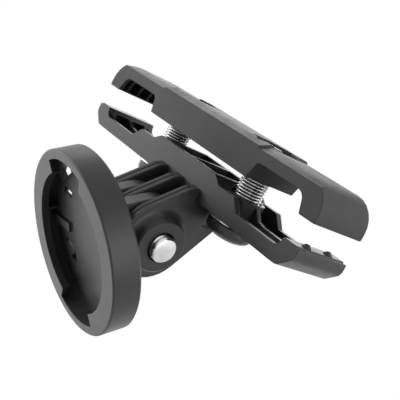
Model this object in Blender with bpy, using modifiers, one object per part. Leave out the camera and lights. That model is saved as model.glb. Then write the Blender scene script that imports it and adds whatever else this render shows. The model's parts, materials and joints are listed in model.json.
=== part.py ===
"""Saddle rail mount: a two-jaw rail clamp with a tilting quarter-turn cup for a bicycle light.

Frame: X across the two saddle rails, Y along the rails towards the rear, Z up along the
clamp screws. The origin lies midway between the two rails, on their centre lines' plane.
All sizes are in metres; the constants below are given in millimetres times MM.
"""
import math

import bmesh
import bpy
from mathutils import Matrix, Vector

MM = 0.001

# Rails and jaws
RAIL_DIAMETER = 7.0 * MM
RAIL_SPACING = 44.0 * MM
UPPER_BASE_Z = 1.4 * MM
JAW_DEPTH = 12.0 * MM
JAW_HALF = 33.0 * MM
UPPER_HEIGHT = 5.95 * MM
PLATEAU_HALF = 14.7 * MM
PLATEAU_RISE = 0.55 * MM
NOTCH_IN = 15.4 * MM
NOTCH_TOP_IN = 16.4 * MM
NOTCH_OUT = 28.8 * MM
NOTCH_TOP_OUT = 27.6 * MM
NOTCH_RISE = 3.1 * MM
HOOK_ROUND = 3.9 * MM
END_LIP = 0.9 * MM
FLANGE = 1.05 * MM
EDGE = 0.3 * MM

# Lower jaw, heights below the upper jaw's flat underside
MID_DROP = 2.45 * MM
SEAT_DROP = 3.72 * MM
LIP_DROP = 4.05 * MM
FLOOR_DROP = 5.8 * MM
BASE_DROP = 8.2 * MM
MID_HALF = 8.9 * MM
SEAT_IN = 10.9 * MM
SEAT_OUT = 15.35 * MM
FLOOR_IN = 17.5 * MM
FLOOR_OUT = 28.3 * MM
LIP_IN = 28.65 * MM
WALL = 1.4 * MM
SHELL_FLOOR = 1.5 * MM
FIN_RISE = 0.95 * MM
FIN_WIDTH = 0.9 * MM
JAW_CLOSING = 2.0 * MM

# Clamp screws, springs, nuts and washers
SCREW_X = 12.1 * MM
SCREW_R = 1.8 * MM
SCREW_HOLE_R = 2.12 * MM
SCREW_TIP_Z = 6.0 * MM
HEAD_R = 4.3 * MM
HEAD_HEIGHT = 2.6 * MM
WASHER_R = 4.75 * MM
WASHER_THICK = 0.55 * MM
SPOT_FACE = 0.2 * MM
SPRING_R = 2.36 * MM
SPRING_WIRE_R = 0.15 * MM
SPRING_PITCH = 0.53 * MM
SPRING_POCKET_R = 2.95 * MM
SPRING_POCKET_DEEP = 1.1 * MM
NUT_FLATS = 7.0 * MM
NUT_THICK = 2.4 * MM
NUT_POCKET_DEEP = 3.2 * MM
GAP = 0.3 * MM

# Tilt hinge
PIN = Vector((1.125 * MM, -9.4 * MM, UPPER_BASE_Z - 17.3 * MM))
EAR_R = 7.0 * MM
EAR_THICK = 2.05 * MM
EAR_PITCH = 5.25 * MM
EAR_STEP = 0.4 * MM
EAR_STEP_IN = 0.95 * MM
EAR_FRONT_Z = -6.1 * MM
EAR_REAR_Y = 4.7 * MM
BOLT_R = 2.5 * MM
BOLT_HOLE_R = 2.85 * MM
BOLT_TIP_X = 10.3 * MM
BOLT_HEAD_R = 4.75 * MM
BOLT_HEAD_HEIGHT = 2.75 * MM
BOSS_R = 4.95 * MM
BOSS_RISE = 1.25 * MM
INSERT_R = 3.5 * MM
INSERT_LENGTH = 2.3 * MM

# Quarter-turn cup
CUP_TILT = math.radians(29.9)
CUP_OFFSET = 0.2 * MM
CUP_REACH = 12.75 * MM
CUP_R = 16.0 * MM
CUP_DEPTH = 5.0 * MM
CUP_FLOOR = 1.6 * MM
LEDGE_THICK = 1.4 * MM
MOUTH_R = 12.15 * MM
LUG_R = 14.35 * MM
LUG_CENTRE = math.radians(97.0)
LUG_HALF = math.radians(25.5)
FINGER_THICK = 2.7 * MM
TONGUE_HALF = 5.4 * MM
TONGUE_SLOT = 0.9 * MM


def clear_scene():
    for obj in list(bpy.data.objects):
        bpy.data.objects.remove(obj, do_unlink=True)


def new_collection(name):
    col = bpy.data.collections.new(name)
    bpy.context.scene.collection.children.link(col)
    return col


clear_scene()
PARTS = new_collection("saddle_rail_mount")
CUTTERS = new_collection("cutters")


def material(name, color, roughness, metallic):
    mat = bpy.data.materials.new(name)
    mat.use_nodes = True
    shader = mat.node_tree.nodes["Principled BSDF"]
    shader.inputs["Base Color"].default_value = (color[0], color[1], color[2], 1.0)
    shader.inputs["Roughness"].default_value = roughness
    shader.inputs["Metallic"].default_value = metallic
    return mat


def link(obj, cutter=False):
    if cutter:
        CUTTERS.objects.link(obj)
        obj.hide_render = True
        obj.display_type = "WIRE"
    else:
        PARTS.objects.link(obj)
    return obj


def finish(obj, mat, smooth_angle=35.0):
    obj.data.materials.clear()
    obj.data.materials.append(mat)
    obj.data.shade_smooth()
    obj.data.set_sharp_from_angle(angle=math.radians(smooth_angle))
    return obj


def as_mesh(obj, name, cutter=False):
    """Turn a curve, or an object with modifiers, into a plain mesh object at the same place."""
    bpy.context.view_layer.update()
    deps = bpy.context.evaluated_depsgraph_get()
    mesh = bpy.data.meshes.new_from_object(obj.evaluated_get(deps))
    bm = bmesh.new()
    bm.from_mesh(mesh)
    bmesh.ops.remove_doubles(bm, verts=bm.verts, dist=1e-6)
    bmesh.ops.transform(bm, matrix=obj.matrix_world, verts=bm.verts)
    bmesh.ops.recalc_face_normals(bm, faces=bm.faces)
    bm.to_mesh(mesh)
    bm.free()
    mesh.name = name
    bpy.data.objects.remove(obj, do_unlink=True)
    return link(bpy.data.objects.new(name, mesh), cutter)


def rounded(corners, steps=5):
    """Outline through corners given as (a, b, radius), each corner replaced by its arc."""
    out = []
    count = len(corners)
    for i in range(count):
        p = Vector(corners[i][:2])
        radius = corners[i][2]
        if radius <= 0.0:
            out.append((p.x, p.y))
            continue
        to_prev = Vector(corners[i - 1][:2]) - p
        to_next = Vector(corners[(i + 1) % count][:2]) - p
        u = to_prev.normalized()
        v = to_next.normalized()
        half = 0.5 * u.angle(v)
        reach = min(radius / math.tan(half), 0.49 * to_prev.length, 0.49 * to_next.length)
        radius = reach * math.tan(half)
        centre = p + (u + v).normalized() * (radius / math.sin(half))
        a = p + u * reach - centre
        b = p + v * reach - centre
        turn = math.atan2(a.x * b.y - a.y * b.x, a.dot(b))
        arcs = max(1, min(steps, int(math.ceil(abs(turn) / math.radians(16.0)))))
        for k in range(arcs + 1):
            ang = turn * k / arcs
            c = math.cos(ang)
            s = math.sin(ang)
            out.append((centre.x + a.x * c - a.y * s, centre.y + a.x * s + a.y * c))
    return out


def mirrored(half):
    """Full outline from a right half that starts and ends at the middle plane."""
    left = [(-p[0],) + tuple(p[1:]) for p in reversed(half)]
    return half + [p for p in left if abs(p[0]) > 1e-7]


def prism(name, outline, low, high, plane="XZ", cutter=False, bevel=0.0):
    """Flat outline extruded from low to high, across Y for plane XZ, X for YZ, Z for XY."""
    curve = bpy.data.curves.new(name, "CURVE")
    curve.dimensions = "2D"
    curve.fill_mode = "BOTH"
    spline = curve.splines.new("POLY")
    spline.points.add(len(outline) - 1)
    for point, (a, b) in zip(spline.points, outline):
        point.co = (a, b, 0.0, 1.0)
    spline.use_cyclic_u = True
    curve.extrude = 0.5 * abs(high - low)
    obj = bpy.data.objects.new(name, curve)
    link(obj, cutter)
    mid = 0.5 * (low + high)
    if plane == "XZ":
        obj.rotation_euler = (math.radians(90.0), 0.0, 0.0)
        obj.location = (0.0, mid, 0.0)
    elif plane == "YZ":
        obj.rotation_euler = (math.radians(90.0), 0.0, math.radians(90.0))
        obj.location = (mid, 0.0, 0.0)
    else:
        obj.location = (0.0, 0.0, mid)
    obj = as_mesh(obj, name, cutter)
    if bevel > 0.0:
        mod = obj.modifiers.new("edges", "BEVEL")
        mod.width = bevel
        mod.segments = 1
        mod.limit_method = "ANGLE"
        mod.angle_limit = math.radians(60.0)
        mod.harden_normals = False
        obj = as_mesh(obj, name, cutter)
    return obj


def cuboid(name, low, high, cutter=True):
    mesh = bpy.data.meshes.new(name)
    bm = bmesh.new()
    bmesh.ops.create_cube(bm, size=1.0)
    size = Vector(high) - Vector(low)
    centre = 0.5 * (Vector(high) + Vector(low))
    bmesh.ops.scale(bm, vec=size, verts=bm.verts)
    bmesh.ops.translate(bm, vec=centre, verts=bm.verts)
    bm.to_mesh(mesh)
    bm.free()
    return link(bpy.data.objects.new(name, mesh), cutter)


def turned(name, profile, matrix, segments=32, cutter=False):
    """Closed solid of revolution: profile of (radius, height) from the top down, about local Z."""
    mesh = bpy.data.meshes.new(name)
    verts = [(r, 0.0, h) for r, h in profile]
    mesh.from_pydata(verts, [(i, i + 1) for i in range(len(verts) - 1)], [])
    obj = link(bpy.data.objects.new(name, mesh), cutter)
    mod = obj.modifiers.new("turn", "SCREW")
    mod.axis = "Z"
    mod.angle = math.radians(360.0)
    mod.steps = segments
    mod.render_steps = segments
    mod.use_merge_vertices = True
    mod.merge_threshold = 0.00001
    mod.use_smooth_shade = True
    obj.matrix_world = matrix
    return as_mesh(obj, name, cutter)


def rod(name, radius, low, high, matrix, segments=28, cutter=True, sides_turn=0.0):
    """Straight cylinder or prism along the matrix's Z axis, from low to high."""
    mesh = bpy.data.meshes.new(name)
    bm = bmesh.new()
    bmesh.ops.create_cone(bm, cap_ends=True, segments=segments, radius1=radius,
                          radius2=radius, depth=high - low)
    place = matrix @ Matrix.Translation((0.0, 0.0, 0.5 * (low + high)))
    place = place @ Matrix.Rotation(sides_turn, 4, "Z")
    bmesh.ops.transform(bm, matrix=place, verts=bm.verts)
    bm.to_mesh(mesh)
    bm.free()
    return link(bpy.data.objects.new(name, mesh), cutter)


def boolean(obj, other, operation):
    mod = obj.modifiers.new(operation.lower(), "BOOLEAN")
    mod.operation = operation
    mod.solver = "EXACT"
    mod.object = other
    return mod


def bake(obj, keep=()):
    """Apply all the modifiers and drop the joined shapes that are not cutters."""
    name = obj.name
    joined = [m.object for m in obj.modifiers if m.type == "BOOLEAN" and m.operation == "UNION"]
    result = as_mesh(obj, name)
    for other in joined:
        if other.name not in keep:
            bpy.data.objects.remove(other, do_unlink=True)
    return result


def set_origin(obj, point):
    obj.data.transform(Matrix.Translation(-Vector(point)))
    obj.location = point
    return obj


def upright(x=0.0, y=0.0, z=0.0):
    return Matrix.Translation((x, y, z))


def along_x(point):
    """Local Z points along +X, through the given point."""
    return Matrix.Translation(point) @ Matrix.Rotation(math.radians(90.0), 4, "Y")


BLACK = material("black_plastic", (0.035, 0.036, 0.038), 0.48, 0.0)
BLACK_UP = material("upper_jaw_plastic", (0.036, 0.037, 0.039), 0.48, 0.0)
BLACK_CUP = material("cup_plastic", (0.037, 0.038, 0.040), 0.46, 0.0)
STEEL = material("bright_steel", (0.62, 0.62, 0.63), 0.26, 1.0)
SPRING_STEEL = material("spring_steel", (0.66, 0.66, 0.67), 0.22, 1.0)
DARK_STEEL = material("black_oxide_steel", (0.06, 0.06, 0.065), 0.38, 1.0)
BRASS = material("brass", (0.62, 0.45, 0.20), 0.34, 1.0)

Y_FRONT = -0.5 * JAW_DEPTH
Y_REAR = 0.5 * JAW_DEPTH


def at_z(points, base):
    return [(p[0], p[1] + base) + tuple(p[2:]) for p in points]


# Upper jaw: outline with two rail notches and outer hooks, extruded along the rails
def upper_outline(grow=0.0):
    half = [
        (0.0, 0.0, 0.0),
        (NOTCH_IN, 0.0, 0.2 * MM),
        (NOTCH_TOP_IN, NOTCH_RISE, 1.0 * MM),
        (NOTCH_TOP_OUT, NOTCH_RISE, 1.9 * MM),
        (NOTCH_OUT, 0.0, 0.25 * MM),
        (JAW_HALF - 0.35 * MM, 0.0, 0.25 * MM),
        (JAW_HALF, 1.2 * MM, 0.8 * MM),
        (JAW_HALF, UPPER_HEIGHT, HOOK_ROUND),
        (PLATEAU_HALF + PLATEAU_RISE, UPPER_HEIGHT, 0.0),
        (PLATEAU_HALF, UPPER_HEIGHT + PLATEAU_RISE, 0.0),
        (0.0, UPPER_HEIGHT + PLATEAU_RISE, 0.0),
    ]
    return rounded(at_z(mirrored(half), UPPER_BASE_Z), 6)


def end_scoop(side):
    """Cutter that hollows the end face between a front and a rear flange."""
    inset = JAW_HALF - END_LIP
    outline = [
        (inset, -1.0 * MM, 0.0),
        (inset, UPPER_HEIGHT - END_LIP, HOOK_ROUND - 0.4 * MM),
        (JAW_HALF - HOOK_ROUND - 1.5 * MM, UPPER_HEIGHT - END_LIP, 0.0),
        (JAW_HALF - HOOK_ROUND - 0.4 * MM, UPPER_HEIGHT - 0.55 * MM, 0.0),
        (JAW_HALF + 2.0 * MM, UPPER_HEIGHT - 0.55 * MM, 0.0),
        (JAW_HALF + 2.0 * MM, -1.0 * MM, 0.0),
    ]
    points = rounded(at_z(outline, UPPER_BASE_Z), 6)
    points = [(side * a, b) for a, b in points]
    return prism("scoop", points, Y_FRONT + FLANGE, Y_REAR - 0.75 * MM, cutter=True)


def build_upper():
    body = prism("upper_clamp", upper_outline(), Y_FRONT, Y_REAR, bevel=EDGE)
    for side in (-1.0, 1.0):
        boolean(body, end_scoop(side), "DIFFERENCE")
        for low, high in ((-4.9, -2.75), (-2.05, 0.05), (0.75, 4.9)):
            ends = sorted((side * 27.9 * MM, side * 31.0 * MM))
            box = cuboid("hook_pocket", (ends[0], low * MM, UPPER_BASE_Z + 0.75 * MM),
                         (ends[1], high * MM, UPPER_BASE_Z + 3.7 * MM))
            boolean(body, box, "DIFFERENCE")
        x = side * SCREW_X
        hole = rod("screw_hole", SCREW_HOLE_R, UPPER_BASE_Z - 1.0 * MM, UPPER_BASE_Z + 9.0 * MM,
                   upright(x), 24)
        boolean(body, hole, "DIFFERENCE")
        top = UPPER_BASE_Z + UPPER_HEIGHT + PLATEAU_RISE
        hexagon = rod("nut_pocket", (0.5 * NUT_FLATS + GAP) / math.cos(math.radians(30.0)),
                      top - NUT_POCKET_DEEP, top + 1.0 * MM, upright(x), 6)
        boolean(body, hexagon, "DIFFERENCE")
        seat = rod("spring_seat", SPRING_POCKET_R, UPPER_BASE_Z - 1.0 * MM,
                   UPPER_BASE_Z + SPRING_POCKET_DEEP, upright(x), 24)
        boolean(body, seat, "DIFFERENCE")
    body = bake(body)
    return finish(body, BLACK_UP)


# Lower jaw: outline with rail seats, hollowed from above, and three hinge ears below
def lower_outline():
    half = [
        (0.0, -MID_DROP, 0.0),
        (MID_HALF, -MID_DROP, 0.5 * MM),
        (SEAT_IN, -SEAT_DROP, 0.3 * MM),
        (SEAT_OUT, -SEAT_DROP, 0.2 * MM),
        (FLOOR_IN, -FLOOR_DROP, 0.3 * MM),
        (FLOOR_OUT, -FLOOR_DROP, 1.5 * MM),
        (LIP_IN, -LIP_DROP, 0.15 * MM),
        (JAW_HALF, -LIP_DROP, 0.35 * MM),
        (32.3 * MM, -6.2 * MM, 2.0 * MM),
        (30.3 * MM, -BASE_DROP + 0.5 * MM, 1.6 * MM),
        (27.2 * MM, -BASE_DROP, 1.0 * MM),
        (0.0, -BASE_DROP, 0.0),
    ]
    half.reverse()
    return rounded(at_z(mirrored(half), UPPER_BASE_Z), 4)


def tangent_from(point, centre, radius, side):
    """Touching point on a circle of the tangent line from an outer point."""
    away = point - centre
    base = math.atan2(away.y, away.x)
    swing = math.acos(radius / away.length)
    ang = base + side * swing
    return centre + radius * Vector((math.cos(ang), math.sin(ang))), ang


def ear_outline(inset=0.0):
    """Side view of an ear in Y and Z: a rounded end about the pin and two straight flanks."""
    centre = Vector((PIN.y, PIN.z))
    radius = EAR_R - inset
    slope = Vector((0.807, 0.591)).normalized()
    front = Vector((Y_FRONT, UPPER_BASE_Z + EAR_FRONT_Z)) + inset * Vector((slope.y, -slope.x))
    rear_top = Vector((EAR_REAR_Y, UPPER_BASE_Z - BASE_DROP + 0.9 * MM))
    rear_top = rear_top - inset * Vector((0.85, -0.52))
    touch_front, ang_front = tangent_from(front, centre, radius, 1.0)
    touch_rear, ang_rear = tangent_from(rear_top, centre, radius, -1.0)
    while ang_rear < ang_front:
        ang_rear += 2.0 * math.pi
    steps = 16
    points = []
    for k in range(steps + 1):
        ang = ang_front + (ang_rear - ang_front) * k / steps
        points.append((centre.x + radius * math.cos(ang), centre.y + radius * math.sin(ang)))
    inner = front + slope * 1.1 * MM
    points.append((rear_top.x, rear_top.y))
    points.append((inner.x, rear_top.y))
    points.append((inner.x, inner.y))
    return points


def ear_places():
    """Low and high X of the three ears, from -X to +X."""
    out = []
    for k in (-1, 0, 1):
        middle = PIN.x + k * EAR_PITCH
        out.append((middle - 0.5 * EAR_THICK, middle + 0.5 * EAR_THICK))
    return out


def skirt_profile(rise, radius, foot):
    """Raised ring round the pin hole, from its face down to a concave foot inside the ear."""
    points = [(0.0, rise), (radius - 0.25 * MM, rise), (radius, rise - 0.2 * MM)]
    span = foot - radius
    for k in range(1, 5):
        ang = 0.5 * math.pi * k / 4.0
        r = radius + span * (1.0 - math.cos(ang))
        h = (rise - 0.2 * MM) * (1.0 - math.sin(ang))
        points.append((r, h))
    points.append((foot, -0.9 * MM))
    points.append((0.0, -0.9 * MM))
    return points


def root_fillet(x, direction):
    """Concave band where an ear's side runs into the underside and the front of the jaw."""
    size = 2.3 * MM
    bottom = UPPER_BASE_Z - BASE_DROP
    sunk = 0.8 * MM
    block_outline = rounded([
        (Y_REAR - 1.6 * MM, bottom + sunk, 0.0),
        (Y_REAR - 1.6 * MM, bottom - size, 0.0),
        (Y_FRONT - size, bottom - size, size),
        (Y_FRONT - size, bottom + 1.6 * MM, 0.0),
        (Y_FRONT + sunk, bottom + 1.6 * MM, 0.0),
        (Y_FRONT + sunk, bottom + sunk, 0.0),
    ], 6)
    ends = sorted((x - direction * 0.5 * MM, x + direction * size))
    block = prism("fillet_block", block_outline, ends[0], ends[1], plane="YZ")
    path = bpy.data.curves.new("fillet_path", "CURVE")
    path.dimensions = "3D"
    path.bevel_depth = 1.05 * size
    path.bevel_resolution = 5
    path.use_fill_caps = True
    spline = path.splines.new("POLY")
    route = [(Y_REAR + 3.0 * MM, bottom - size)]
    steps = 5
    for k in range(steps + 1):
        ang = math.radians(270.0 - 90.0 * k / steps)
        swing = size * 1.15
        route.append((Y_FRONT + swing * math.cos(ang), bottom + swing * math.sin(ang)))
    route.append((Y_FRONT - size, bottom + 6.0 * MM))
    spline.points.add(len(route) - 1)
    for point, (y, z) in zip(spline.points, route):
        point.co = (x + direction * size, y, z, 1.0)
    tube = as_mesh(link(bpy.data.objects.new("fillet_tube", path), True), "fillet_tube", True)
    boolean(block, tube, "DIFFERENCE")
    return bake(block)


def build_lower():
    body = prism("lower_clamp", lower_outline(), Y_FRONT, Y_REAR, bevel=EDGE)
    base = UPPER_BASE_Z
    pocket_floor = base - BASE_DROP + SHELL_FLOOR
    y_in = Y_FRONT + WALL
    y_out = Y_REAR - WALL

    # Hollows between the walls: the middle, and one under each rail
    middle_half = 7.6 * MM
    for low, high in ((-middle_half, -0.45 * MM), (0.45 * MM, middle_half)):
        box = cuboid("middle_hollow", (low, y_in, pocket_floor), (high, y_out, base))
        boolean(body, box, "DIFFERENCE")
    for side in (-1.0, 1.0):
        edges = [17.9 * MM, 20.6 * MM, 21.4 * MM, 24.1 * MM, 24.9 * MM, 27.0 * MM]
        for k in range(3):
            ends = sorted((side * edges[2 * k], side * edges[2 * k + 1]))
            box = cuboid("rail_hollow", (ends[0], y_in, pocket_floor),
                         (ends[1], y_out, base - FLOOR_DROP + 2.0 * MM))
            boolean(body, box, "DIFFERENCE")
        for low, high in ((-4.6, -2.15), (-1.25, 2.35), (3.25, 4.9)):
            ends = sorted((side * 29.3 * MM, side * (JAW_HALF + 2.0 * MM)))
            box = cuboid("tip_relief", (ends[0], low * MM, base - LIP_DROP - 0.55 * MM),
                         (ends[1], high * MM, base))
            boolean(body, box, "DIFFERENCE")
        x = side * SCREW_X
        boolean(body, rod("screw_hole", SCREW_HOLE_R, base - BASE_DROP - 2.0 * MM, base,
                          upright(x), 24), "DIFFERENCE")
        boolean(body, rod("spring_seat", SPRING_POCKET_R, base - SEAT_DROP - SPRING_POCKET_DEEP,
                          base, upright(x), 24), "DIFFERENCE")
    body = bake(body)

    # Two fins on each jaw tip
    for side in (-1.0, 1.0):
        for y in (-1.7 * MM, 2.8 * MM):
            outline = rounded([
                (29.0 * MM, base - LIP_DROP - 0.8 * MM, 0.0),
                (29.0 * MM, base - LIP_DROP + FIN_RISE, 0.45 * MM),
                (31.2 * MM, base - LIP_DROP + FIN_RISE, 0.6 * MM),
                (32.5 * MM, base - LIP_DROP - 0.2 * MM, 0.0),
                (32.4 * MM, base - LIP_DROP - 0.8 * MM, 0.0),
            ], 3)
            outline = [(side * a, b) for a, b in outline]
            fin = prism("fin", outline, y - 0.5 * FIN_WIDTH, y + 0.5 * FIN_WIDTH)
            boolean(body, fin, "UNION")

    # Ears with a stepped +X side, the ring round the bolt on the +X ear, its twin on the -X ear
    for k, (low, high) in enumerate(ear_places()):
        plate = prism("ear", ear_outline(), low, high - EAR_STEP, plane="YZ")
        boolean(body, plate, "UNION")
        step = prism("ear_step", ear_outline(EAR_STEP_IN), low + 0.35 * MM, high, plane="YZ")
        boolean(body, step, "UNION")
    boolean(body, root_fillet(ear_places()[2][1], 1.0), "UNION")
    boolean(body, root_fillet(ear_places()[0][0], -1.0), "UNION")
    pin = Vector((0.0, PIN.y, PIN.z))
    right = ear_places()[2][1]
    left = ear_places()[0][0]
    ring = turned("ring", skirt_profile(BOSS_RISE, BOSS_R, BOSS_R + 1.0 * MM),
                  along_x(pin + Vector((right, 0.0, 0.0))), 40)
    boolean(body, ring, "UNION")
    back = turned("back_ring", skirt_profile(0.7 * MM, BOSS_R + 0.3 * MM, BOSS_R + 0.8 * MM),
                  along_x(pin + Vector((left, 0.0, 0.0))) @ Matrix.Rotation(math.pi, 4, "X"), 40)
    boolean(body, back, "UNION")
    body = bake(body)
    for side in (-1.0, 1.0):
        bottom = UPPER_BASE_Z - BASE_DROP
        boolean(body, rod("spot_face", WASHER_R + GAP, bottom - 4.0 * MM, bottom + SPOT_FACE,
                          upright(side * SCREW_X), 40), "DIFFERENCE")
    bore = rod("bolt_bore", BOLT_HOLE_R, left - 5.0 * MM, right + 5.0 * MM, along_x(pin), 32)
    boolean(body, bore, "DIFFERENCE")
    inner = ear_places()[2][0]
    socket = rod("insert_socket", INSERT_R + GAP, inner - 2.0 * MM,
                 inner + INSERT_LENGTH + 2.0 * GAP, along_x(pin), 32)
    boolean(body, socket, "DIFFERENCE")
    body = bake(body)
    return finish(body, BLACK)


# Fasteners
def build_clamp_screw(name, x):
    """Pan head screw driven from below, with a six-sided drive recess."""
    under = UPPER_BASE_Z - BASE_DROP + SPOT_FACE - GAP - WASHER_THICK - GAP
    rim = under - 0.9 * MM
    low = under - HEAD_HEIGHT
    profile = [
        (0.0, SCREW_TIP_Z + UPPER_BASE_Z),
        (SCREW_R - 0.35 * MM, SCREW_TIP_Z + UPPER_BASE_Z),
        (SCREW_R, SCREW_TIP_Z + UPPER_BASE_Z - 0.4 * MM),
        (SCREW_R, under),
        (HEAD_R, under),
        (HEAD_R, rim),
    ]
    for k in range(1, 6):
        ang = 0.5 * math.pi * k / 6.0
        profile.append((HEAD_R * math.cos(ang) ** 0.75, rim - (rim - low) * math.sin(ang)))
    profile.append((0.0, low))
    obj = turned(name, profile, upright(x), 32)
    recess = rod("drive", 1.55 * MM, low - 1.0 * MM, low + 1.4 * MM, upright(x), 6)
    boolean(obj, recess, "DIFFERENCE")
    obj = bake(obj)
    set_origin(obj, (x, 0.0, under))
    return finish(obj, DARK_STEEL)


def build_washer(name, x):
    top = UPPER_BASE_Z - BASE_DROP + SPOT_FACE - GAP
    obj = rod(name, WASHER_R, top - WASHER_THICK, top, upright(x), 36, cutter=False)
    hole = rod("washer_hole", SCREW_HOLE_R, top - 3.0 * MM, top + 3.0 * MM, upright(x), 24)
    boolean(obj, hole, "DIFFERENCE")
    return finish(bake(obj), STEEL)


def build_nut(name, x):
    floor = UPPER_BASE_Z + UPPER_HEIGHT + PLATEAU_RISE - NUT_POCKET_DEEP + GAP
    profile = [
        (0.0, floor + NUT_THICK),
        (0.5 * NUT_FLATS, floor + NUT_THICK),
        (0.62 * NUT_FLATS, floor + NUT_THICK - 0.35 * MM),
        (0.62 * NUT_FLATS, floor + 0.35 * MM),
        (0.5 * NUT_FLATS, floor),
        (0.0, floor),
    ]
    obj = turned(name, profile, upright(x), 24)
    flats = rod("nut_flats", 0.5 * NUT_FLATS / math.cos(math.radians(30.0)), floor - 1.0 * MM,
                floor + NUT_THICK + 1.0 * MM, upright(x), 6)
    boolean(obj, flats, "INTERSECT")
    hole = rod("nut_hole", SCREW_HOLE_R, floor - 2.0 * MM, floor + NUT_THICK + 2.0 * MM,
               upright(x), 24)
    boolean(obj, hole, "DIFFERENCE")
    return finish(bake(obj), STEEL)


def build_spring(name, x):
    """Close-wound compression spring round the screw shank, between the two jaws."""
    low = UPPER_BASE_Z - SEAT_DROP - SPRING_POCKET_DEEP + GAP + SPRING_WIRE_R
    high = UPPER_BASE_Z + SPRING_POCKET_DEEP - GAP - SPRING_WIRE_R
    turns = (high - low) / SPRING_PITCH
    per_turn = 11
    count = int(round(turns * per_turn))
    curve = bpy.data.curves.new(name, "CURVE")
    curve.dimensions = "3D"
    curve.bevel_depth = SPRING_WIRE_R
    curve.bevel_resolution = 2
    curve.use_fill_caps = True
    spline = curve.splines.new("POLY")
    spline.points.add(count)
    for k in range(count + 1):
        ang = 2.0 * math.pi * turns * k / count
        z = (high - low) * k / count
        spline.points[k].co = (SPRING_R * math.cos(ang), SPRING_R * math.sin(ang), z, 1.0)
    obj = link(bpy.data.objects.new(name, curve))
    obj.location = (x, 0.0, low)
    obj = as_mesh(obj, name)
    return finish(obj, SPRING_STEEL, 60.0)


def build_bolt():
    """Hinge bolt: button head on the -X side, chamfered tip standing out at +X."""
    left = ear_places()[0][0] - 0.7 * MM - GAP
    head_low = left - BOLT_HEAD_HEIGHT
    profile = [
        (0.0, BOLT_TIP_X),
        (BOLT_R - 0.75 * MM, BOLT_TIP_X - 0.1 * MM),
        (BOLT_R, BOLT_TIP_X - 0.75 * MM),
        (BOLT_R, left),
        (BOLT_HEAD_R, left),
    ]
    for k in range(1, 6):
        ang = 0.5 * math.pi * k / 6.0
        profile.append((BOLT_HEAD_R * math.cos(ang) ** 0.6, left - BOLT_HEAD_HEIGHT * math.sin(ang)))
    profile.append((0.0, head_low))
    pin = Vector((0.0, PIN.y, PIN.z))
    obj = turned("hinge_bolt", profile, along_x(pin), 32)
    recess = rod("socket", 1.75 * MM, head_low - 1.0 * MM, head_low + 1.6 * MM, along_x(pin), 6)
    boolean(obj, recess, "DIFFERENCE")
    return finish(bake(obj), STEEL)


def build_insert():
    inner = ear_places()[2][0]
    low = inner + 0.1 * MM
    obj = rod("hinge_insert", INSERT_R, low, low + INSERT_LENGTH, along_x((0.0, PIN.y, PIN.z)),
              32, cutter=False)
    hole = rod("insert_hole", BOLT_R + GAP, low - 2.0 * MM, low + INSERT_LENGTH + 2.0 * MM,
               along_x((0.0, PIN.y, PIN.z)), 32)
    boolean(obj, hole, "DIFFERENCE")
    return finish(bake(obj), BRASS)


# Quarter-turn cup with two hinge fingers, built about its own axis and then tilted
def cup_matrix():
    """Local Z runs from the cup's mouth back to the hinge; local X is world X."""
    back = Vector((0.0, math.cos(CUP_TILT), math.sin(CUP_TILT)))
    up = Vector((0.0, -math.sin(CUP_TILT), math.cos(CUP_TILT)))
    mouth = PIN - CUP_REACH * back - CUP_OFFSET * up
    right = Vector((1.0, 0.0, 0.0))
    basis = Matrix((right, up, back)).transposed().to_4x4()
    return Matrix.Translation(mouth) @ basis


def sector(inner, outer, start, end, steps):
    """Ring sector outline in the cup's own plane."""
    points = []
    for k in range(steps + 1):
        ang = start + (end - start) * k / steps
        points.append((outer * math.cos(ang), outer * math.sin(ang)))
    for k in range(steps + 1):
        ang = end + (start - end) * k / steps
        points.append((inner * math.cos(ang), inner * math.sin(ang)))
    return points


def flat(name, outline, low, high, cutter=True):
    """Outline in the cup's plane, extruded along the cup's axis."""
    obj = prism(name, outline, low, high, plane="XY", cutter=cutter)
    obj.data.transform(cup_matrix())
    obj.data.flip_normals()
    obj.data.update()
    return obj


def finger_outline():
    """Side view of a finger in the cup's frame: (distance along the axis, height)."""
    points = []
    steps = 14
    for k in range(steps + 1):
        ang = math.radians(90.0 - 180.0 * k / steps)
        points.append((CUP_REACH + EAR_R * math.cos(ang), CUP_OFFSET + EAR_R * math.sin(ang)))
    points.append((CUP_DEPTH - 0.9 * MM, CUP_OFFSET - EAR_R))
    points.append((CUP_DEPTH - 0.9 * MM, CUP_OFFSET + EAR_R))
    return points


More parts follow.
